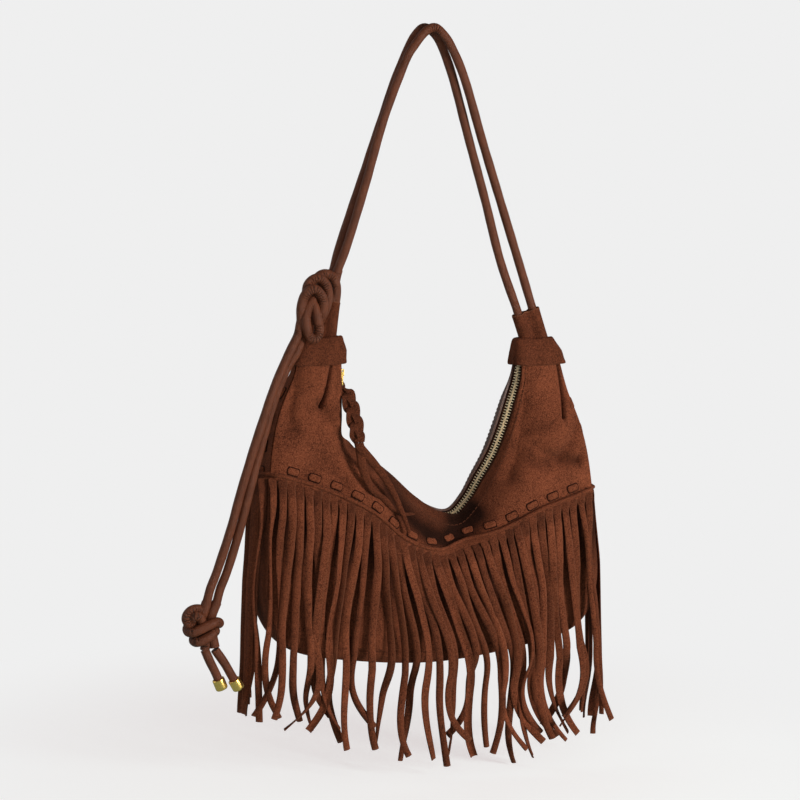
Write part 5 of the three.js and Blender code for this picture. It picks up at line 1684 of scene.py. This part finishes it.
def plait_lofts():
    """Three flat strands of a plait: strand k swings across as sin(p + k 120 degrees) and forward as
    sin(2p + k 240 degrees), with one crossing each 60 degrees of p."""
    path = spaced(PULL, 0.0009)
    along = tangents(path)
    over = unit(RIGHT - along * along[:, :1])
    out = np.cross(along, over)
    share = np.linspace(0, 1, len(path))
    grow = ease(share / 0.16) * (1 - 0.35 * ease((share - 0.86) / 0.14))
    lofts = []
    for k in range(3):
        p = share * 2 * math.pi * PLAIT_TURNS + k * 2 * math.pi / 3
        swing, depth = np.sin(p) * PLAIT_SWING * grow, np.sin(2 * p) * PLAIT_DEPTH * grow
        centre = path + over * swing[:, None] + out * depth[:, None]
        slant = over + along * (0.55 * np.cos(p))[:, None]
        lofts.append(ribbon(centre, slant, 0.0028 + 0.0052 * grow, PULL_THICK, -0.0002, 6))
    return lofts


class BAG_OT_pull(bpy.types.Operator):
    """Make the plaited suede pull of the zip and its two loose tails"""

    bl_idname = "bag.pull"
    bl_label = "Make the Zip Pull"

    def execute(self, context):
        finish = {"body": None, "sharp": 75}
        # The pull's suede is darker than the front's, as painted shade.
        leather = suede("Pull suede")
        ring = through(RING_OF_PULL, np.linspace(0, 1, 24))
        lofts = plait_lofts() + [rounded_ends(tube(ring, 0.00085, 10), ring)]
        plait = make_piece("plait", lofts, leather, "suede", replaces=("pull_plait",), **finish)
        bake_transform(plait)

        at, way = on_front(LONG_TAIL_LIES[:, 0], LONG_TAIL_LIES[:, 1])
        long_tail = np.concatenate([LONG_TAIL, at + way * TAIL_ABOVE_FRONT])
        tails = []
        for points in (long_tail, SHORT_TAIL):
            path = spaced(points, 0.0016)
            share = np.linspace(0, 1, len(path))
            turn = 0.5 * np.sin(share * 6)
            across = np.stack([np.cos(turn), np.full_like(turn, -0.2), np.sin(turn)], -1)
            tails.append(ribbon(path, across, 0.0085 * (1 - 0.62 * share**1.3), PULL_THICK, 0.0004, 5))
        tails = make_piece("tails_of_pull", tails, leather, "suede", replaces=("pull_tails",), **finish)
        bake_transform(tails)
        return {"FINISHED"}


# ---------------------------------------------------------------- panel and making


class BAG_PT_panel(bpy.types.Panel):
    """Settings and pieces of the fringed bag"""

    bl_idname = "BAG_PT_panel"
    bl_label = "Fringed Bag"
    bl_space_type = "VIEW_3D"
    bl_region_type = "UI"
    bl_category = "Bag"

    def draw(self, context):
        for name in BagSettings.__annotations__:
            self.layout.prop(context.scene.fringed_bag, name)
        for step in STEPS:
            self.layout.operator(step.bl_idname)


STEPS = (
    BAG_OT_stage, BAG_OT_cords, BAG_OT_body, BAG_OT_ears, BAG_OT_zip,
    BAG_OT_laces, BAG_OT_fringe, BAG_OT_stitches, BAG_OT_pull,
)
CLASSES = (BagSettings, *STEPS, BAG_PT_panel)


def register():
    """Register the settings, the operators and the panel."""
    for item in CLASSES:
        bpy.utils.register_class(item)
    bpy.types.Scene.fringed_bag = PointerProperty(type=BagSettings)


def unregister():
    """Take them away again."""
    del bpy.types.Scene.fringed_bag
    for item in reversed(CLASSES):
        bpy.utils.unregister_class(item)


def main():
    """Make the whole bag."""
    register()
    bpy.ops.bag.stage()
    bpy.ops.bag.cords()
    bpy.ops.bag.body()
    bpy.ops.bag.ears()
    bpy.ops.bag.zip()
    bpy.ops.bag.laces()
    bpy.ops.bag.fringe()
    bpy.ops.bag.stitches()
    bpy.ops.bag.pull()
    bpy.context.view_layer.update()


if __name__ == "__main__":
    main()
